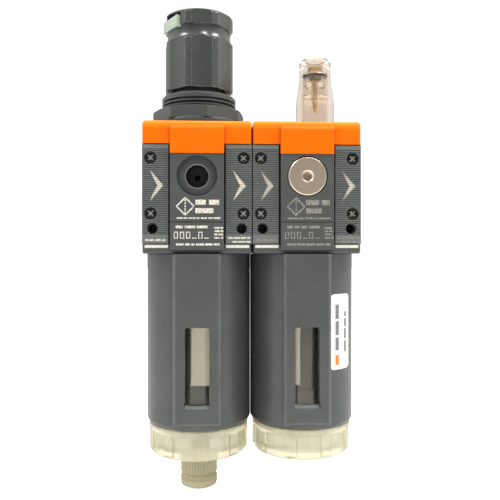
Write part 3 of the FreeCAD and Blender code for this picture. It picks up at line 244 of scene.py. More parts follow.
# ---- kinds of material; lengths are in millimetres ----
def plastic(name, color, roughness, grain=0.3, grain_depth=0.006, edge=0.2, wear_and_sheen=0.35, blotch=0.08, coat=0.0,
            specular=0.5, printed=None, reach=5.0, turns=(0.995, 0.85), rubbed=2.2):
    """Moulded plastic: a fine spark-eroded grain, faint flow blotches, edges painted lighter, crevices painted
    darker.

    An edge is rounded to the radius edge. It is painted lighter, partly worn by rubbing and partly as painted
    highlight, by the share wear_and_sheen, to rubbed times the colour, and turns says how sharp it must be for
    that.
    Painted shade darkens a crevice as far as reach. printed adds marks, and painted light where asked.
    """
    tree = Tree(name)
    normal = tree.rounded(edge)
    # Edges painted lighter: partly worn by rubbing, partly painted highlight.
    worn = tree.product(tree.edges(normal, *turns), tree.pattern(WEAR_AND_SHEEN_PATCHES))
    base = tree.mix(tree.pattern(FLOW_BLOTCHES), shade(color, 1 - blotch), shade(color, 1 + blotch))
    base = tree.mix(tree.product(worn, wear_and_sheen), base, shade(color, rubbed))
    rough = tree.pattern(SHINE_PATCHES, roughness * 0.88, roughness * 1.12)
    # Painted shade: the colour darkens in crevices by the ambient occlusion, as far as reach.
    crevice = tree.ramp(tree.openness(reach), *PLASTIC_CREVICE)
    base = tree.mix(crevice, shade(color, PLASTIC_CREVICE_SHADE), base)
    if printed:
        mask, mark_color = printed(tree)
        base = tree.mix(mask, base, mark_color)
        rough = tree.share(mask, rough, MATT)
    normal = tree.bump(tree.noise(grain, detail=3), grain_depth, normal)
    return tree.finish(tree.principled({"Base Color": base, "Roughness": rough, "Normal": normal,
                                        "Specular IOR Level": specular, "Coat Weight": coat,
                                        "Coat Roughness": 0.15, "IOR": PLASTIC_IOR}))


def metal(name, color, roughness, brush=(1, 1, 1), depth=0.003, edge=0.12, tarnish=0.2, highlight=None, worn=None,
          spread=0.22, painted_shade=0.75):
    """Turned or plated metal: tool marks, tarnish, bare edges and worn places, dark hollows.

    The tool marks are stretched along brush. highlight is the colour of the painted highlights, and worn gives the
    extra places painted as lit. spread is how far the roughness varies, and painted_shade how dark the painted
    shade in the hollows is.
    roughness varies, and grime how full of dirt the hollows are.
    """
    tree = Tree(name)
    normal = tree.rounded(edge)
    marks = tree.noise(size=0.12, stretch=brush)
    base = tree.mix(tree.product(tree.pattern(TARNISH_STAINS), tarnish), color, shade(color, 0.55))
    rough = tree.ramp(marks, 0.3, 0.7, roughness * (1 - spread), roughness * (1 + spread))
    metallic = 1.0
    # Painted highlights: sharp edges, and any places that worn gives, take the highlight colour.
    if highlight:
        mask = tree.edges(normal)
        if worn:
            place = worn(tree)
            mask = tree.math("MAXIMUM", mask, place)
            rough = tree.share(place, rough, MATT)
            metallic = tree.share(place, 1.0, 0.5)
        base = tree.mix(mask, base, highlight)
    # Painted shade: the colour darkens in hollows by the ambient occlusion.
    hollow = tree.ramp(tree.openness(METAL_HOLLOW_REACH), *METAL_HOLLOW, painted_shade, 0.0)
    base = tree.mix(hollow, base, shade(color, METAL_HOLLOW_SHADE))
    return tree.finish(tree.principled({"Base Color": base, "Roughness": rough, "Metallic": metallic,
                                        "Normal": tree.bump(marks, depth, normal)}))


def clear(name, color, roughness, ripple, haze):
    """Clear moulded plastic: tinted refraction with faint ripples and smears, and haze as the milky share."""
    tree = Tree(name)
    normal = tree.bump(tree.noise(size=4.0), ripple, tree.rounded(0.25))
    rough = tree.pattern(CLEAR_SMEARS, roughness, roughness + 0.08)
    body = tree.principled({"Base Color": color, "Roughness": rough, "IOR": PLASTIC_IOR,
                            "Transmission Weight": 1.0, "Normal": normal})
    milky = tree.translucent(shade(color, 1.0), normal)
    return tree.finish_clear(tree.mix_shader(haze, body, milky), color)


def frosted(name, color, deep, roughness, clear_above=None, clarity=0.45):
    """Thick moulded plastic, milky with flow streaks; above a stated height (metres) it is thin and clear.

    deep is its colour where it is seen edge-on, and clarity is the share of light that it bends rather than
    scatters.
    """
    tree = Tree(name)
    normal = tree.bump(tree.noise(size=3.0, detail=3), 0.03, tree.rounded(0.3))
    streaks = tree.pattern(FLOW_STREAKS, stretch=(1, 1, 4))
    facing = tree.add("ShaderNodeLayerWeight", {"Blend": 0.35, "Normal": normal}).outputs["Facing"]
    depth = tree.product(tree.ramp(facing, 0.1, 0.95), tree.share(streaks, 0.5, 1.0))
    tint = tree.mix(depth, color, deep)
    glassy = tree.share(streaks, clarity * 0.7, clarity * 1.3)
    glass_color = shade(color, 1.08)
    if clear_above is not None:
        thin = tree.ramp(tree.axis(2), clear_above - MM, clear_above + MM)
        glassy = tree.mix_number(thin, glassy, 0.97)
        glass_color = tree.mix(thin, glass_color, THIN_GLASS)
    glass = tree.principled({"Base Color": glass_color, "Roughness": roughness, "IOR": PLASTIC_IOR,
                             "Transmission Weight": 1.0, "Normal": normal})
    skin = tree.principled({"Base Color": tint, "Roughness": roughness + 0.08, "IOR": PLASTIC_IOR,
                            "Normal": normal, "Coat Weight": 0.4})
    milky = tree.mix_shader(0.3, skin, tree.translucent(tint, normal))
    return tree.finish_clear(tree.mix_shader(glassy, milky, glass), color)


def rubber(name):
    """Black nitrile rubber with a dusty bloom."""
    return plastic(name, (0.012, 0.012, 0.012), 0.6, grain=0.15, grain_depth=0.004, wear_and_sheen=0.1, blotch=0.25)


def porous(name, color, size):
    """A sintered body: small beads with dark gaps between them."""
    tree = Tree(name)
    voronoi = tree.add("ShaderNodeTexVoronoi", {"Vector": tree.place, "Scale": 1 / (size * MM)})
    cells = voronoi.outputs["Distance"]
    base = tree.mix(tree.ramp(cells, 0.35, 0.75), color, shade(color, 0.35))
    normal = tree.bump(tree.ramp(cells, 0.1, 0.8, 1.0, 0.0), size * 0.4, tree.rounded(0.2))
    return tree.finish(tree.principled({"Base Color": base, "Roughness": 0.85, "Normal": normal}))


def ink(name, color, coverage):
    """Screen-printed ink, rubbed thin in patches so that the grey below shows through."""
    tree = Tree(name)
    worn = tree.ramp(tree.noise(size=0.45, detail=5), 0.28, 0.28 + 0.22 / coverage)
    base = tree.mix(worn, shade(GREY, 1.3), color)
    normal = tree.bump(tree.noise(size=0.2, detail=3), 0.004, tree.rounded(0.02))
    return tree.finish(tree.principled({"Base Color": base, "Roughness": MATT, "Normal": normal}))


# ---- marks and painted light that lie in the surface; millimetres, x from a module's left side or off its axis ----
CHEVRON_LEFT_EDGES = (0.2, 31.6)
CHEVRON_HALF_HEIGHT = 5.9
CHEVRON_POINT, CHEVRON_POINT_SLANT = 8.0, 5.0
CHEVRON_NOTCH, CHEVRON_NOTCH_SLANT, CHEVRON_NOTCH_CURVE = 5.9, 2.9, 0.8
CHEVRON_LOSS = (0.15, 0.6)
LIP_LINE_Z = (-23.7, -22.6)
LIP_LINE_OFF_AXIS = 11.0
# Painted shade in the open port: the radii where it starts and is full, how far behind the panel it starts, and
# the y where it ends.
PORT_SHADE_R = (4.7, 4.4)
PORT_SHADE_DEPTH, PORT_SHADE_END_Y = 2.5, -5.0
# Painted light on the guards: the sills lit from above and highlights along the pads' borders.
SILL_RISE, SILL_SOFT, SILL_ENDS = (8.5, 9.8), 0.25, (4.7, 5.1)
PAD_Y = 18.6
PAD_SIDE, PAD_SIDE_SOFT, PAD_SIDE_RISE = (8.2, 9.3), 0.5, 2.5
PAD_FOOT_RISE, PAD_FOOT_SOFT, PAD_FOOT_HALF = (2.3, 3.1), 0.4, 8.6
# Depths behind a screw head's face where the painted light in its cross starts and is full.
RECESS_DEPTH = (0.25, 0.4)
# Painted light on the cap: how far below its top it starts and where it is full.
TOP_LIGHT_DEPTHS = (3.2, 0.3)
SOFT = 0.05


def band(tree, value, span, soft=0.06):
    """1 where value lies within the span, with edges soft millimetres wide."""
    low, high = span
    rise = tree.ramp(value, low - soft, low + soft)
    fall = tree.ramp(value, high - soft, high + soft, 1.0, 0.0)
    return tree.product(rise, fall)


def local_axes(tree):
    """Millimetres: x within a module, y and z of the frame."""
    x, y, z = (tree.math("MULTIPLY", tree.axis(number), 1 / MM) for number in range(3))
    return tree.math("MODULO", x, PITCH / MM), y, z


def from_axis(tree, x):
    """How far right of its module's axis a place is."""
    return tree.math("SUBTRACT", x, PITCH / MM / 2)


def worn_ink(tree, mask):
    """Thins a printed mask where the ink has rubbed away."""
    return tree.product(mask, tree.pattern(INK_LOSS, 0.35, 1.0))


def chevron(tree):
    """A pointed arrow on each ridged plate, in the direction of flow, rubbed fainter on the lubricator."""
    x, y, z = local_axes(tree)
    right_plate = tree.math("GREATER_THAN", x, PITCH / MM / 2)
    x = tree.math("SUBTRACT", x, tree.share(right_plate, *CHEVRON_LEFT_EDGES))
    height = tree.math("DIVIDE", tree.math("ABSOLUTE", z), CHEVRON_HALF_HEIGHT)
    point = tree.math("MULTIPLY_ADD", height, -CHEVRON_POINT_SLANT, CHEVRON_POINT)
    curve = tree.math("POWER", height, CHEVRON_NOTCH_CURVE)
    notch = tree.math("MULTIPLY_ADD", curve, -CHEVRON_NOTCH_SLANT, CHEVRON_NOTCH)
    inside = tree.product(tree.ramp(tree.math("SUBTRACT", point, x), -SOFT, SOFT),
                          tree.ramp(tree.math("SUBTRACT", x, notch), -SOFT, SOFT),
                          tree.math("LESS_THAN", height, 1.0),
                          tree.math("LESS_THAN", y, 0.0))
    on_lubricator = tree.math("GREATER_THAN", tree.axis(0), PITCH)
    lost = tree.product(on_lubricator, tree.ramp(height, 0.1, 1.0, *CHEVRON_LOSS))
    return worn_ink(tree, tree.product(inside, tree.math("SUBTRACT", 1.0, lost))), CREAM


def housing_print_and_shade(tree):
    """A pale line across the lip under each front plate, and painted shade deep inside the open port's thread."""
    x, y, z = local_axes(tree)
    off_axis = from_axis(tree, x)
    at_side = tree.math("GREATER_THAN", tree.math("ABSOLUTE", off_axis), LIP_LINE_OFF_AXIS)
    in_front = tree.math("LESS_THAN", y, PLATE_Y / MM + 0.1)
    line = worn_ink(tree, tree.product(band(tree, z, LIP_LINE_Z), at_side, in_front))
    # Painted shade inside the open port's thread.
    height = tree.math("SUBTRACT", z, PORT_Z / MM)
    squares = tree.math("ADD", tree.product(off_axis, off_axis), tree.product(height, height))
    radius = tree.math("SQRT", squares)
    depth = band(tree, y, (PANEL_Y / MM + PORT_SHADE_DEPTH, PORT_SHADE_END_Y), soft=0.5)
    painted_shade = tree.product(tree.ramp(radius, *PORT_SHADE_R), depth)
    return tree.math("MAXIMUM", line, painted_shade), tree.mix(painted_shade, CREAM, PORT_SHADE_COLOR)


def guard_painted_light(tree):
    """Painted light on each guard: the sills under its windows, painted as lit from above, and painted highlights
    along the borders of its flat pads.
    """
    x, y, z = local_axes(tree)
    off_axis = tree.math("ABSOLUTE", from_axis(tree, x))
    rise = tree.math("SUBTRACT", z, GUARD_FOOT_Z / MM)
    sill = tree.product(band(tree, rise, SILL_RISE, SILL_SOFT), tree.ramp(off_axis, *SILL_ENDS, 1.0, 0.0))
    side = tree.product(band(tree, off_axis, PAD_SIDE, PAD_SIDE_SOFT),
                        tree.math("GREATER_THAN", rise, PAD_SIDE_RISE))
    foot = tree.product(band(tree, rise, PAD_FOOT_RISE, PAD_FOOT_SOFT),
                        tree.math("LESS_THAN", off_axis, PAD_FOOT_HALF))
    border = tree.product(tree.math("MAXIMUM", side, foot),
                          tree.pattern(BORDER_HIGHLIGHT_PATCHES, 0.4, 0.8),
                          tree.math("GREATER_THAN", tree.math("ABSOLUTE", y), PAD_Y))
    # Painted light colours: the sills 4.6 and the pad borders 2.0 times the grey.
    return tree.math("MAXIMUM", sill, border), tree.mix(sill, shade(GREY, 2.0), shade(GREY, 4.6))


def painted_cross_light(tree):
    """Painted light in the cross of each screw head: all that lies behind the face of the head is painted as lit.
    """
    start, full = (SCREW_HEAD_Y + depth * MM for depth in RECESS_DEPTH)
    return tree.ramp(tree.axis(1), start, full)


def painted_top_light(tree):
    """Painted light: the cap is painted paler towards its upper rim, as lit from above."""
    start, full = (CAP_TOP_Z - depth * MM for depth in TOP_LIGHT_DEPTHS)
    return tree.ramp(tree.axis(2), start, full, 0.0, 0.85), TOP_LIGHT_COLOR


# ---- materials, one per slot of the record ----
SLOTS = {
    # The housing carries painted shade deep in its open port.
    "grey_housing": plastic("housing_plastic", GREY, 0.42, printed=housing_print_and_shade, reach=3.0),
    # The plates' grey is painted 2.25 times the housing's, as painted light from above on their ridges, and
    # painted shade darkens their grooves.
    "grey_plate": plastic("plate_plastic", shade(GREY, 2.25), 0.42, edge=0.06, printed=chevron, reach=0.7),
    # The guards carry painted light on their sills and pad borders.
    "grey_guard": plastic("guard_plastic", GREY, 0.34, edge=0.4, reach=1.0, printed=guard_painted_light),
    # The cap's edges are painted lighter, partly worn and partly as painted highlight, and its top carries painted
    # light.
    "orange_cap": plastic("cap_plastic", (0.95, 0.150, 0.0), 0.36, grain=0.4, edge=0.7, blotch=0.03,
                          wear_and_sheen=0.45, specular=0.15, printed=painted_top_light),
    # The screws' edges and the crosses in their heads are painted highlights.
    "black_screw": metal("screw_metal", (0.05, 0.05, 0.045, 1), 0.25, edge=0.2, highlight=(0.50, 0.50, 0.46),
                         worn=painted_cross_light, painted_shade=0.0),
    "port_metal": metal("port_metal", (0.55, 0.55, 0.56, 1), 0.35, brush=(1, 1, 6)),
    # The plug's edges are painted highlights, nearly white.
    "nickel_plug": metal("plug_nickel", (0.84, 0.68, 0.52, 1), 0.30, brush=(9, 1, 1), depth=0.0, edge=0.25,
                         tarnish=0.08, highlight=(0.95, 0.92, 0.86), spread=0.05),
    "seal_rubber": rubber("seal_rubber"),
    "black_bonnet": plastic("bonnet_plastic", (0.058, 0.065, 0.060), 0.33, edge=0.2, wear_and_sheen=0.25),
    # The knob's flute edges are painted far lighter, even where they turn little, as painted highlights.
    "black_knob": plastic("knob_plastic", (0.048, 0.052, 0.047), 0.24, edge=0.45, wear_and_sheen=1.3, coat=0.2,
                          turns=(0.9995, 0.993), rubbed=4.5),
    "pale_tab": plastic("tab_plastic", (0.44, 0.50, 0.40), 0.4, wear_and_sheen=0.0),
    "zinc_steel": metal("zinc_steel", (0.55, 0.56, 0.58, 1), 0.3),
    "spring_steel": metal("spring_steel", (0.40, 0.40, 0.42, 1), 0.28),
    "brass_part": metal("brass_part", (0.60, 0.50, 0.24, 1), 0.3, painted_shade=0.0),
    "inner_plastic": plastic("inner_plastic", (0.66, 0.57, 0.43), 0.45, wear_and_sheen=0.0),
    "sintered_filter": porous("sintered_filter", (0.78, 0.77, 0.72), 0.35),
    "clear_bowl": frosted("bowl_plastic", (0.82, 0.79, 0.62), (0.50, 0.47, 0.28), 0.06,
                          clear_above=GUARD_FOOT_Z),
    "clear_dome": clear("dome_plastic", (0.81, 0.72, 0.635, 1), 0.02, ripple=0.012, haze=0.04),
    "tube_plastic": frosted("tube_plastic", (0.90, 0.84, 0.66), (0.62, 0.56, 0.40), 0.25, clarity=0.25),
    "drain_plastic": frosted("drain_plastic", (0.66, 0.62, 0.44), (0.42, 0.40, 0.25), 0.3, clarity=0.2),
}
# The needle's housing and its foot are clear like the dome round them, so that the needle shows through.
CLEAR_INSIDE = ("needle_housing", "drip_seat")
HOUSING = clear("needle_housing_plastic", (0.97, 0.95, 0.90, 1), 0.05, ripple=0.01, haze=0.05)
CREAM_INK = ink("cream_ink", CREAM, 0.9)
FAINT_INK = ink("faint_ink", FAINT_CREAM, 0.6)
LABEL_PAPER = plastic("label_paper", (0.90, 0.92, 0.84), 0.45, grain=0.12, grain_depth=0.003, wear_and_sheen=0.0,
                      blotch=0.02)
LABEL_INK = ink("label_ink", (0.22, 0.22, 0.22, 1), 0.9)
LABEL_ACCENT = ink("label_accent", (0.80, 0.22, 0.02, 1), 1.0)


def dress_frame():
    """Gives every CAD node its slot's material."""
    for part in frame["record"]["subparts"]:
        node = NODES[part["node"]]
        node.data.materials.clear()
        node.data.materials.append(HOUSING if part["node"] in CLEAR_INSIDE else SLOTS[part["material_slot"]])


# ---- new pieces ----
def new_piece(name, vertices, faces, material, smooth=False):
    """A mesh piece in the frame's metres."""
    mesh = bpy.data.meshes.new(name)
    mesh.from_pydata([tuple(v) for v in vertices], [], faces)
    mesh.validate()
    mesh.update()
    mesh.materials.append(material)
    for polygon in mesh.polygons:
        polygon.use_smooth = smooth
    holder = bpy.data.objects.new(name, mesh)
    bpy.context.scene.collection.objects.link(holder)
    return holder


def add_piece(name, vertices, faces, body, material, smooth=False):
    """A mesh piece that rides on a body."""
    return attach(new_piece(name, vertices, faces, material, smooth), body)


# A coil spring has closed turns at both ends; their pitch is in radii of the wire.
COIL_STEPS, COIL_SIDES = 36, 10
CLOSED_TURNS, CLOSED_PITCH = 0.75, 2.05


def coil_piece(node, wire_r, turns, body):
    """A coil spring as long as its CAD node, riding on a body in place of the node."""
    low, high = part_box(node)
    centre, radius = (low + high) / 2, (high.x - low.x) / 2 - wire_r
    closed_pitch = CLOSED_PITCH * wire_r
    pitch = (high.z - low.z - 2 * wire_r - 2 * CLOSED_TURNS * closed_pitch) / turns
    total = int(COIL_STEPS * (turns + 2 * CLOSED_TURNS))
    vertices, faces = [], []
    for i in range(total + 1):
        done = i / COIL_STEPS
        angle = 2 * math.pi * done
        opened = min(max(done - CLOSED_TURNS, 0.0), turns)
        z = low.z + wire_r + (done - opened) * closed_pitch + opened * pitch
        for k in range(COIL_SIDES):
            around = 2 * math.pi * k / COIL_SIDES
            r = radius + wire_r * math.cos(around)
            vertices.append((centre.x + r * math.cos(angle), centre.y + r * math.sin(angle),
                             z + wire_r * math.sin(around)))
    for i in range(total):
        for k in range(COIL_SIDES):
            a, b = i * COIL_SIDES + k, i * COIL_SIDES + (k + 1) % COIL_SIDES
            faces.append((a, b, b + COIL_SIDES, a + COIL_SIDES))
    faces += [tuple(range(COIL_SIDES))[::-1], tuple(range(total * COIL_SIDES, (total + 1) * COIL_SIDES))]
    steel = SLOTS["spring_steel"]
    spring = add_piece(node + "_coil", vertices, faces, body, steel, smooth=True)
    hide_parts(node)
    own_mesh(spring)


# The diaphragm in millimetres. Its profile gives radii and, at each, the share of the sag in its bead.
DIAPHRAGM_THICKNESS, DIAPHRAGM_SAG = 1.18, 0.5
DIAPHRAGM_PROFILE = ((2.1, 0), (7, 0), (12.2, 0), (12.6, 0), (12.85, 0.5), (13.1, 1), (13.4, 0.5), (13.7, 0),
                     (14.0, 0))
SECTORS, SECTOR_STEPS = 16, 6


def diaphragm_pieces():
    """The rubber diaphragm in sectors, between the clamped rim and the plate."""
    low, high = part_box("diaphragm")
    centre, rim = (low + high) / 2, (high.x - low.x) / 2
    rings = [(r * MM, high.z - share * DIAPHRAGM_SAG * MM) for r, share in DIAPHRAGM_PROFILE]
    rings.append((rim, high.z))
    outline = rings + [(r, z - DIAPHRAGM_THICKNESS * MM) for r, z in reversed(rings)]
    count = len(outline)
    rubber_slot = SLOTS["seal_rubber"]
    for k in range(SECTORS):
        vertices, faces = [], []
        for i in range(SECTOR_STEPS + 1):
            angle = 2 * math.pi * (k + i / SECTOR_STEPS) / SECTORS
            way_x, way_y = math.cos(angle), math.sin(angle)
            vertices += [(centre.x + r * way_x, centre.y + r * way_y, z) for r, z in outline]
        for i in range(SECTOR_STEPS):
            for j in range(count):
                a, b = i * count + j, i * count + (j + 1) % count
                faces.append((a, a + count, b + count, b))
        name = f"diaphragm_sector_{k + 1}"
        sector = new_piece(name, vertices, faces, rubber_slot, smooth=True)
        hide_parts("diaphragm")
        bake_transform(sector)


# ---- printed marks that are pieces; millimetres, x from the module's axis and z from the ports' axis ----
PRINT_LIFT = 0.015
WORD_LENGTHS, WORD_GAPS = (1.6, 4.5), (0.4, 0.7)
DIAMOND_PLACE, DIAMOND_HALF, DIAMOND_STROKE = (-4.4, -8.0), 3.3, 0.55
DASH_LENGTH, DASH_PITCH, DASH_HALF_WIDTH = 0.28, 1.3, 0.4
# Rows of small print: left, right, bottom, top and the row's own seed.
PANEL_ROWS = ((-0.6, 8.4, -7.4, -5.5, 0), (-0.6, 6.2, -10.6, -8.7, 1), (-7.6, 8.8, -12.75, -12.15, 3),
              (-8.0, 5.0, -16.3, -15.3, 4), (-7.9, 8.6, -22.8, -22.0, 5), (6.5, 9.9, -20.2, -19.55, 6),
              (6.5, 9.9, -18.95, -18.3, 7), (6.5, 9.9, -17.7, -17.05, 8), (6.5, 9.9, -16.45, -15.8, 9))
PLATE_ROWS = ((-19.6, -11.6, -21.1, -20.4, 11), (11.6, 20.2, -20.2, -19.6, 12),
              (13.4, 20.2, -21.7, -21.1, 13))
BOX_LEFT, BOX_PITCH, BOX_COUNT, BOX_STROKE = -8.7, 2.3, 6, 0.34
BOX_BOTTOM, BOX_WIDTH, BOX_HEIGHT = -20.2, 1.6, 2.6
SHORT_BARS, BAR_WIDTH, BAR_HEIGHT = (3, 5), 1.7, 0.4


class Print:
    """A set of flat printed marks on one plane of a module."""

    def __init__(self, axis_x, plane_y):
        self.axis_x, self.plane_y = axis_x, plane_y - PRINT_LIFT * MM
        self.vertices, self.faces = [], []

    def shape(self, outline):
        """One filled outline, given anticlockwise as seen from the front."""
        start = len(self.vertices)
        self.vertices += [(self.axis_x + x * MM, self.plane_y, z * MM) for x, z in outline]
        self.faces.append(tuple(range(start, start + len(outline))))

    def bar(self, x0, z0, x1, z1):
        """A rectangle."""
        self.shape([(x0, z0), (x1, z0), (x1, z1), (x0, z1)])

    def line(self, x0, z0, x1, z1, width):
        """A straight stroke between two points."""
        dx, dz = x1 - x0, z1 - z0
        scale = width / 2 / math.hypot(dx, dz)
        nx, nz = -dz * scale, dx * scale
        self.shape([(x0 - nx, z0 - nz), (x1 - nx, z1 - nz), (x1 + nx, z1 + nz), (x0 + nx, z0 + nz)])

    def frame(self, x0, z0, x1, z1, width):
        """A hollow rectangle."""
        self.bar(x0, z0, x0 + width, z1)
        self.bar(x1 - width, z0, x1, z1)
        self.bar(x0 + width, z0, x1 - width, z0 + width)
        self.bar(x0 + width, z1 - width, x1 - width, z1)

    def words(self, x0, x1, z0, z1, seed):
        """A row of plain bars of word lengths in place of a line of small print."""
        dice = random.Random(seed)
        height, x = z1 - z0, x0
        while x + height < x1:
            end = min(x + height * dice.uniform(*WORD_LENGTHS), x1)
            self.bar(x, z0, end, z1)
            x = end + height * dice.uniform(*WORD_GAPS)

    def diamond(self, x, z, half, width):
        """The standard diamond of an air-treatment unit, with its dashed middle line."""
        corners = [(x, z - half), (x + half, z), (x, z + half), (x - half, z)]
        for (ax, az), (bx, bz) in zip(corners, corners[1:] + corners[:1]):
            self.line(ax, az, bx, bz, width)
        dash = half * DASH_LENGTH
        side = width * DASH_HALF_WIDTH
        for k in range(-2, 3):
            middle = z + k * dash * DASH_PITCH
            self.bar(x - side, middle - dash / 2, x + side, middle + dash / 2)

    def boxes(self):
        """A row of empty boxes, with short bars in place of some of them."""
        for k in range(BOX_COUNT):
            left = BOX_LEFT + k * BOX_PITCH
            if k in SHORT_BARS:
                self.bar(left, BOX_BOTTOM, left + BAR_WIDTH, BOX_BOTTOM + BAR_HEIGHT)
            else:
                self.frame(left, BOX_BOTTOM, left + BOX_WIDTH, BOX_BOTTOM + BOX_HEIGHT, BOX_STROKE)

    def rows(self, table, seed):
        """Rows of small print."""
        for x0, x1, z0, z1, own_seed in table:
            self.words(x0, x1, z0, z1, seed + own_seed)

    def done(self, name, material):
        """The finished piece."""
        return add_piece(name, self.vertices, self.faces, "frame", material)


def panel_print(name, axis_x, seed, material):
    """Marks on one module: a symbol, small print and boxes on its panel, more small print on its plates."""
    marks = Print(axis_x, PANEL_Y)
    marks.diamond(*DIAMOND_PLACE, DIAMOND_HALF, DIAMOND_STROKE)
    marks.rows(PANEL_ROWS, seed)
    marks.boxes()
    marks.done(name, material)
    foot = Print(axis_x, PLATE_Y)
    foot.rows(PLATE_ROWS, seed)
    foot.done(name + "_foot", material)


# ---- the adhesive label: degrees round the guard from its front, millimetres ----
LABEL_ANGLES, LABEL_Z, LABEL_CORNER = (25.2, 56.7), (-70.9, -41.6), 1.6
LABEL_LIFTS, LABEL_INK_LIFT = (0.02, 0.10), 0.115
LABEL_COLUMNS, LABEL_ROWS = 24, 40
# Columns of marks: name, middle and half width in degrees, span above the foot, seed, thickness and material.
BLOCK_COLUMNS = (("label_column_wide", 35.0, 2.6, 7.5, 25.3, 5, 1.3, LABEL_INK),
                 ("label_column_narrow", 48.5, 2.0, 6.5, 22.3, 9, 1.3, LABEL_INK),
                 ("label_column_short", 35.0, 2.6, 1.8, 5.6, 3, 1.4, LABEL_ACCENT))
BLOCK_LENGTHS, BLOCK_GAP, BLOCK_STEPS = (2.0, 5.0), 0.6, 4


def on_guard(angle, z, lift):
    """A place on the lubricator's guard, at an angle in radians from its front, lifted off the surface."""
    r = GUARD_R + lift * MM
    return (OILER_X + r * math.sin(angle), -r * math.cos(angle), z * MM)


def label_paper():
    """Rounded paper that follows the curve of the guard."""
    radius = GUARD_R / MM
    first, last = (math.radians(angle) for angle in LABEL_ANGLES)
    bottom, top = LABEL_Z
    width = (last - first) * radius
    vertices, faces = [], []
    for lift in LABEL_LIFTS:
        for j in range(LABEL_ROWS + 1):
            z = bottom + (top - bottom) * j / LABEL_ROWS
            edge = min(z - bottom, top - z)
            bite = math.sqrt(max(LABEL_CORNER ** 2 - (LABEL_CORNER - edge) ** 2, 0.0))
            inset = LABEL_CORNER - bite if edge < LABEL_CORNER else 0.0
            for i in range(LABEL_COLUMNS + 1):
                across = inset + (width - 2 * inset) * i / LABEL_COLUMNS
                vertices.append(on_guard(first + across / radius, z, lift))
    row = LABEL_COLUMNS + 1
    layer = row * (LABEL_ROWS + 1)
    for j in range(LABEL_ROWS):
        for i in range(LABEL_COLUMNS):
            a = j * row + i + layer
            faces.append((a, a + 1, a + row + 1, a + row))
    rim = [j * row for j in range(LABEL_ROWS + 1)]
    rim += [LABEL_ROWS * row + i for i in range(1, row)]
    rim += [j * row + LABEL_COLUMNS for j in range(LABEL_ROWS - 1, -1, -1)]
    rim += list(range(LABEL_COLUMNS - 1, 0, -1))
    for a, b in zip(rim, rim[1:] + rim[:1]):
        faces.append((a, a + layer, b + layer, b))
    add_piece("guard_label", vertices, faces, "oiler_bowl_unit", LABEL_PAPER)


def label_column(name, middle, half, start_rise, end_rise, seed, height, material):
    """A column of plain blocks of word lengths on the label."""
    dice = random.Random(seed)
    vertices, faces = [], []
    z, end = LABEL_Z[0] + start_rise, LABEL_Z[0] + end_rise
    while z + height < end:
        tall = min(height * dice.uniform(*BLOCK_LENGTHS), end - z)
        start = len(vertices)
        for k in range(BLOCK_STEPS + 1):
            angle = math.radians(middle + half * (2 * k / BLOCK_STEPS - 1))
            vertices += [on_guard(angle, z, LABEL_INK_LIFT), on_guard(angle, z + tall, LABEL_INK_LIFT)]
        for a in range(start, start + 2 * BLOCK_STEPS, 2):
            faces.append((a, a + 2, a + 3, a + 1))
        z += tall + height * BLOCK_GAP
    add_piece(name, vertices, faces, "oiler_bowl_unit", material)


# ---- stage, light and camera; metres and watts ----
FLOOR_SIZE, FLOOR_GAP = 6.0, 0.002
# Strength of the glow for the camera, through a clear part and for the light on the object.
FLOOR_GLOW = (1.0, 0.9, 0.1)
SKY_GLOW_CAMERA, SKY_GLOW_THROUGH = 1.05, 1.0
SKY_SIDES, SKY_ABOVE, SKY_BASE = 1.0, 0.8, 0.06
# Lamps: name, place from the middle of the object, size and power.
LAMPS = (("left_lamp", (-0.40, -0.14, 0.62), 0.15, 2.0),
         ("front_lamp", (0.17, -0.385, 0.62), 0.11, 1.6),
         ("right_lamp", (0.42, -0.10, 0.60), 0.15, 2.2))
CAMERA_DISTANCE, CAMERA_Z, CAMERA_TURN = 0.2536, -0.0245, 2.58
SENSOR_WIDTH_MM, LENS_MM, CLIP_START = 36.0, 44.21, 0.01


def by_ray(tree, camera_ray, through_ray, other):
    """A strength that depends on whether the camera, a clear part or anything else asks for it."""
    path = tree.add("ShaderNodeLightPath").outputs
    strength = tree.mix_number(path["Is Transmission Ray"], other, through_ray)
    return tree.mix_number(path["Is Camera Ray"], strength, camera_ray)


def pale_floor():
    """A pale floor just under the object, that glows enough to show white."""
    low, high = cad_box
    centre = (low + high) / 2
    bpy.ops.mesh.primitive_plane_add(size=FLOOR_SIZE, location=(centre.x, centre.y, low.z - FLOOR_GAP))
    floor = bpy.context.object
    floor.name = "floor"
    tree = Tree("floor_paint")
    base = tree.mix(tree.noise(size=60.0, detail=3), (0.93, 0.93, 0.93), (0.96, 0.96, 0.96))
    diffuse = tree.add("ShaderNodeBsdfDiffuse", {"Color": base}).outputs[0]
    strength = by_ray(tree, *FLOOR_GLOW)
    glow = tree.add("ShaderNodeEmission", {"Color": (1, 1, 1, 1), "Strength": strength}).outputs[0]
    both = tree.add("ShaderNodeAddShader", {0: diffuse, 1: glow}).outputs[0]
    floor.data.materials.append(tree.finish(both))


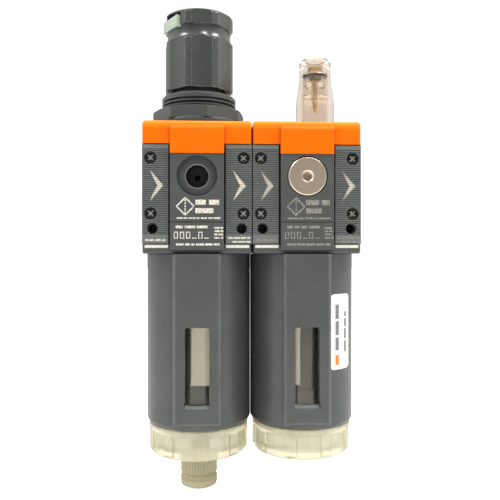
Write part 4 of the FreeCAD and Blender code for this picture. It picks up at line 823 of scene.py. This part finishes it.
def surround():
    """A white surround that lights the object from both sides and above more than from the front."""
    world = bpy.data.worlds.new("surround")
    sky = Tree("surround", world)
    generated = sky.add("ShaderNodeTexCoord").outputs["Generated"]
    way = sky.add("ShaderNodeSeparateXYZ", {0: generated}).outputs
    above = sky.math("MULTIPLY_ADD", sky.math("MAXIMUM", way[2], 0.0), SKY_ABOVE, SKY_BASE)
    tent = sky.math("MULTIPLY_ADD", sky.product(way[0], way[0]), SKY_SIDES, above)
    strength = by_ray(sky, SKY_GLOW_CAMERA, SKY_GLOW_THROUGH, tent)
    background = sky.add("ShaderNodeBackground", {"Color": (1, 1, 1, 1), "Strength": strength})
    sky.add("ShaderNodeOutputWorld", {"Surface": background.outputs[0]})
    bpy.context.scene.world = world


def lamps():
    """Small soft lamps that face the middle of the object."""
    centre = (cad_box[0] + cad_box[1]) / 2
    for name, place, size, power in LAMPS:
        lamp = bpy.data.lights.new(name, "AREA")
        lamp.size = size
        lamp.energy = power
        holder = bpy.data.objects.new(name, lamp)
        holder.location = centre + Vector(place)
        holder.rotation_mode = "QUATERNION"
        holder.rotation_quaternion = (centre - holder.location).to_track_quat("-Z", "Y")
        bpy.context.scene.collection.objects.link(holder)


def camera():
    """A level camera in front, a little left of the joint between the modules and turned to face it."""
    lens = bpy.data.cameras.new("camera")
    lens.sensor_width = SENSOR_WIDTH_MM
    lens.lens = LENS_MM
    lens.clip_start = CLIP_START
    holder = bpy.data.objects.new("camera", lens)
    turn = math.radians(CAMERA_TURN)
    holder.location = (PITCH - CAMERA_DISTANCE * math.tan(turn), -CAMERA_DISTANCE, CAMERA_Z)
    holder.rotation_euler = (math.pi / 2, 0, -turn)
    bpy.context.scene.collection.objects.link(holder)
    bpy.context.scene.camera = holder


dress_frame()
panel_print("filter_print", FILTER_X, 21, CREAM_INK)
panel_print("oiler_print", OILER_X, 47, FAINT_INK)
label_paper()
for column in BLOCK_COLUMNS:
    label_column(*column)
coil_piece("main_spring", 0.85 * MM, 4.5, "frame")
coil_piece("poppet_spring", 0.4 * MM, 5, "frame")
coil_piece("drain_spring", 0.35 * MM, 4, "filter_bowl_unit")
diaphragm_pieces()
pale_floor()
surround()
lamps()
camera()
bpy.context.scene.view_settings.view_transform = "Standard"
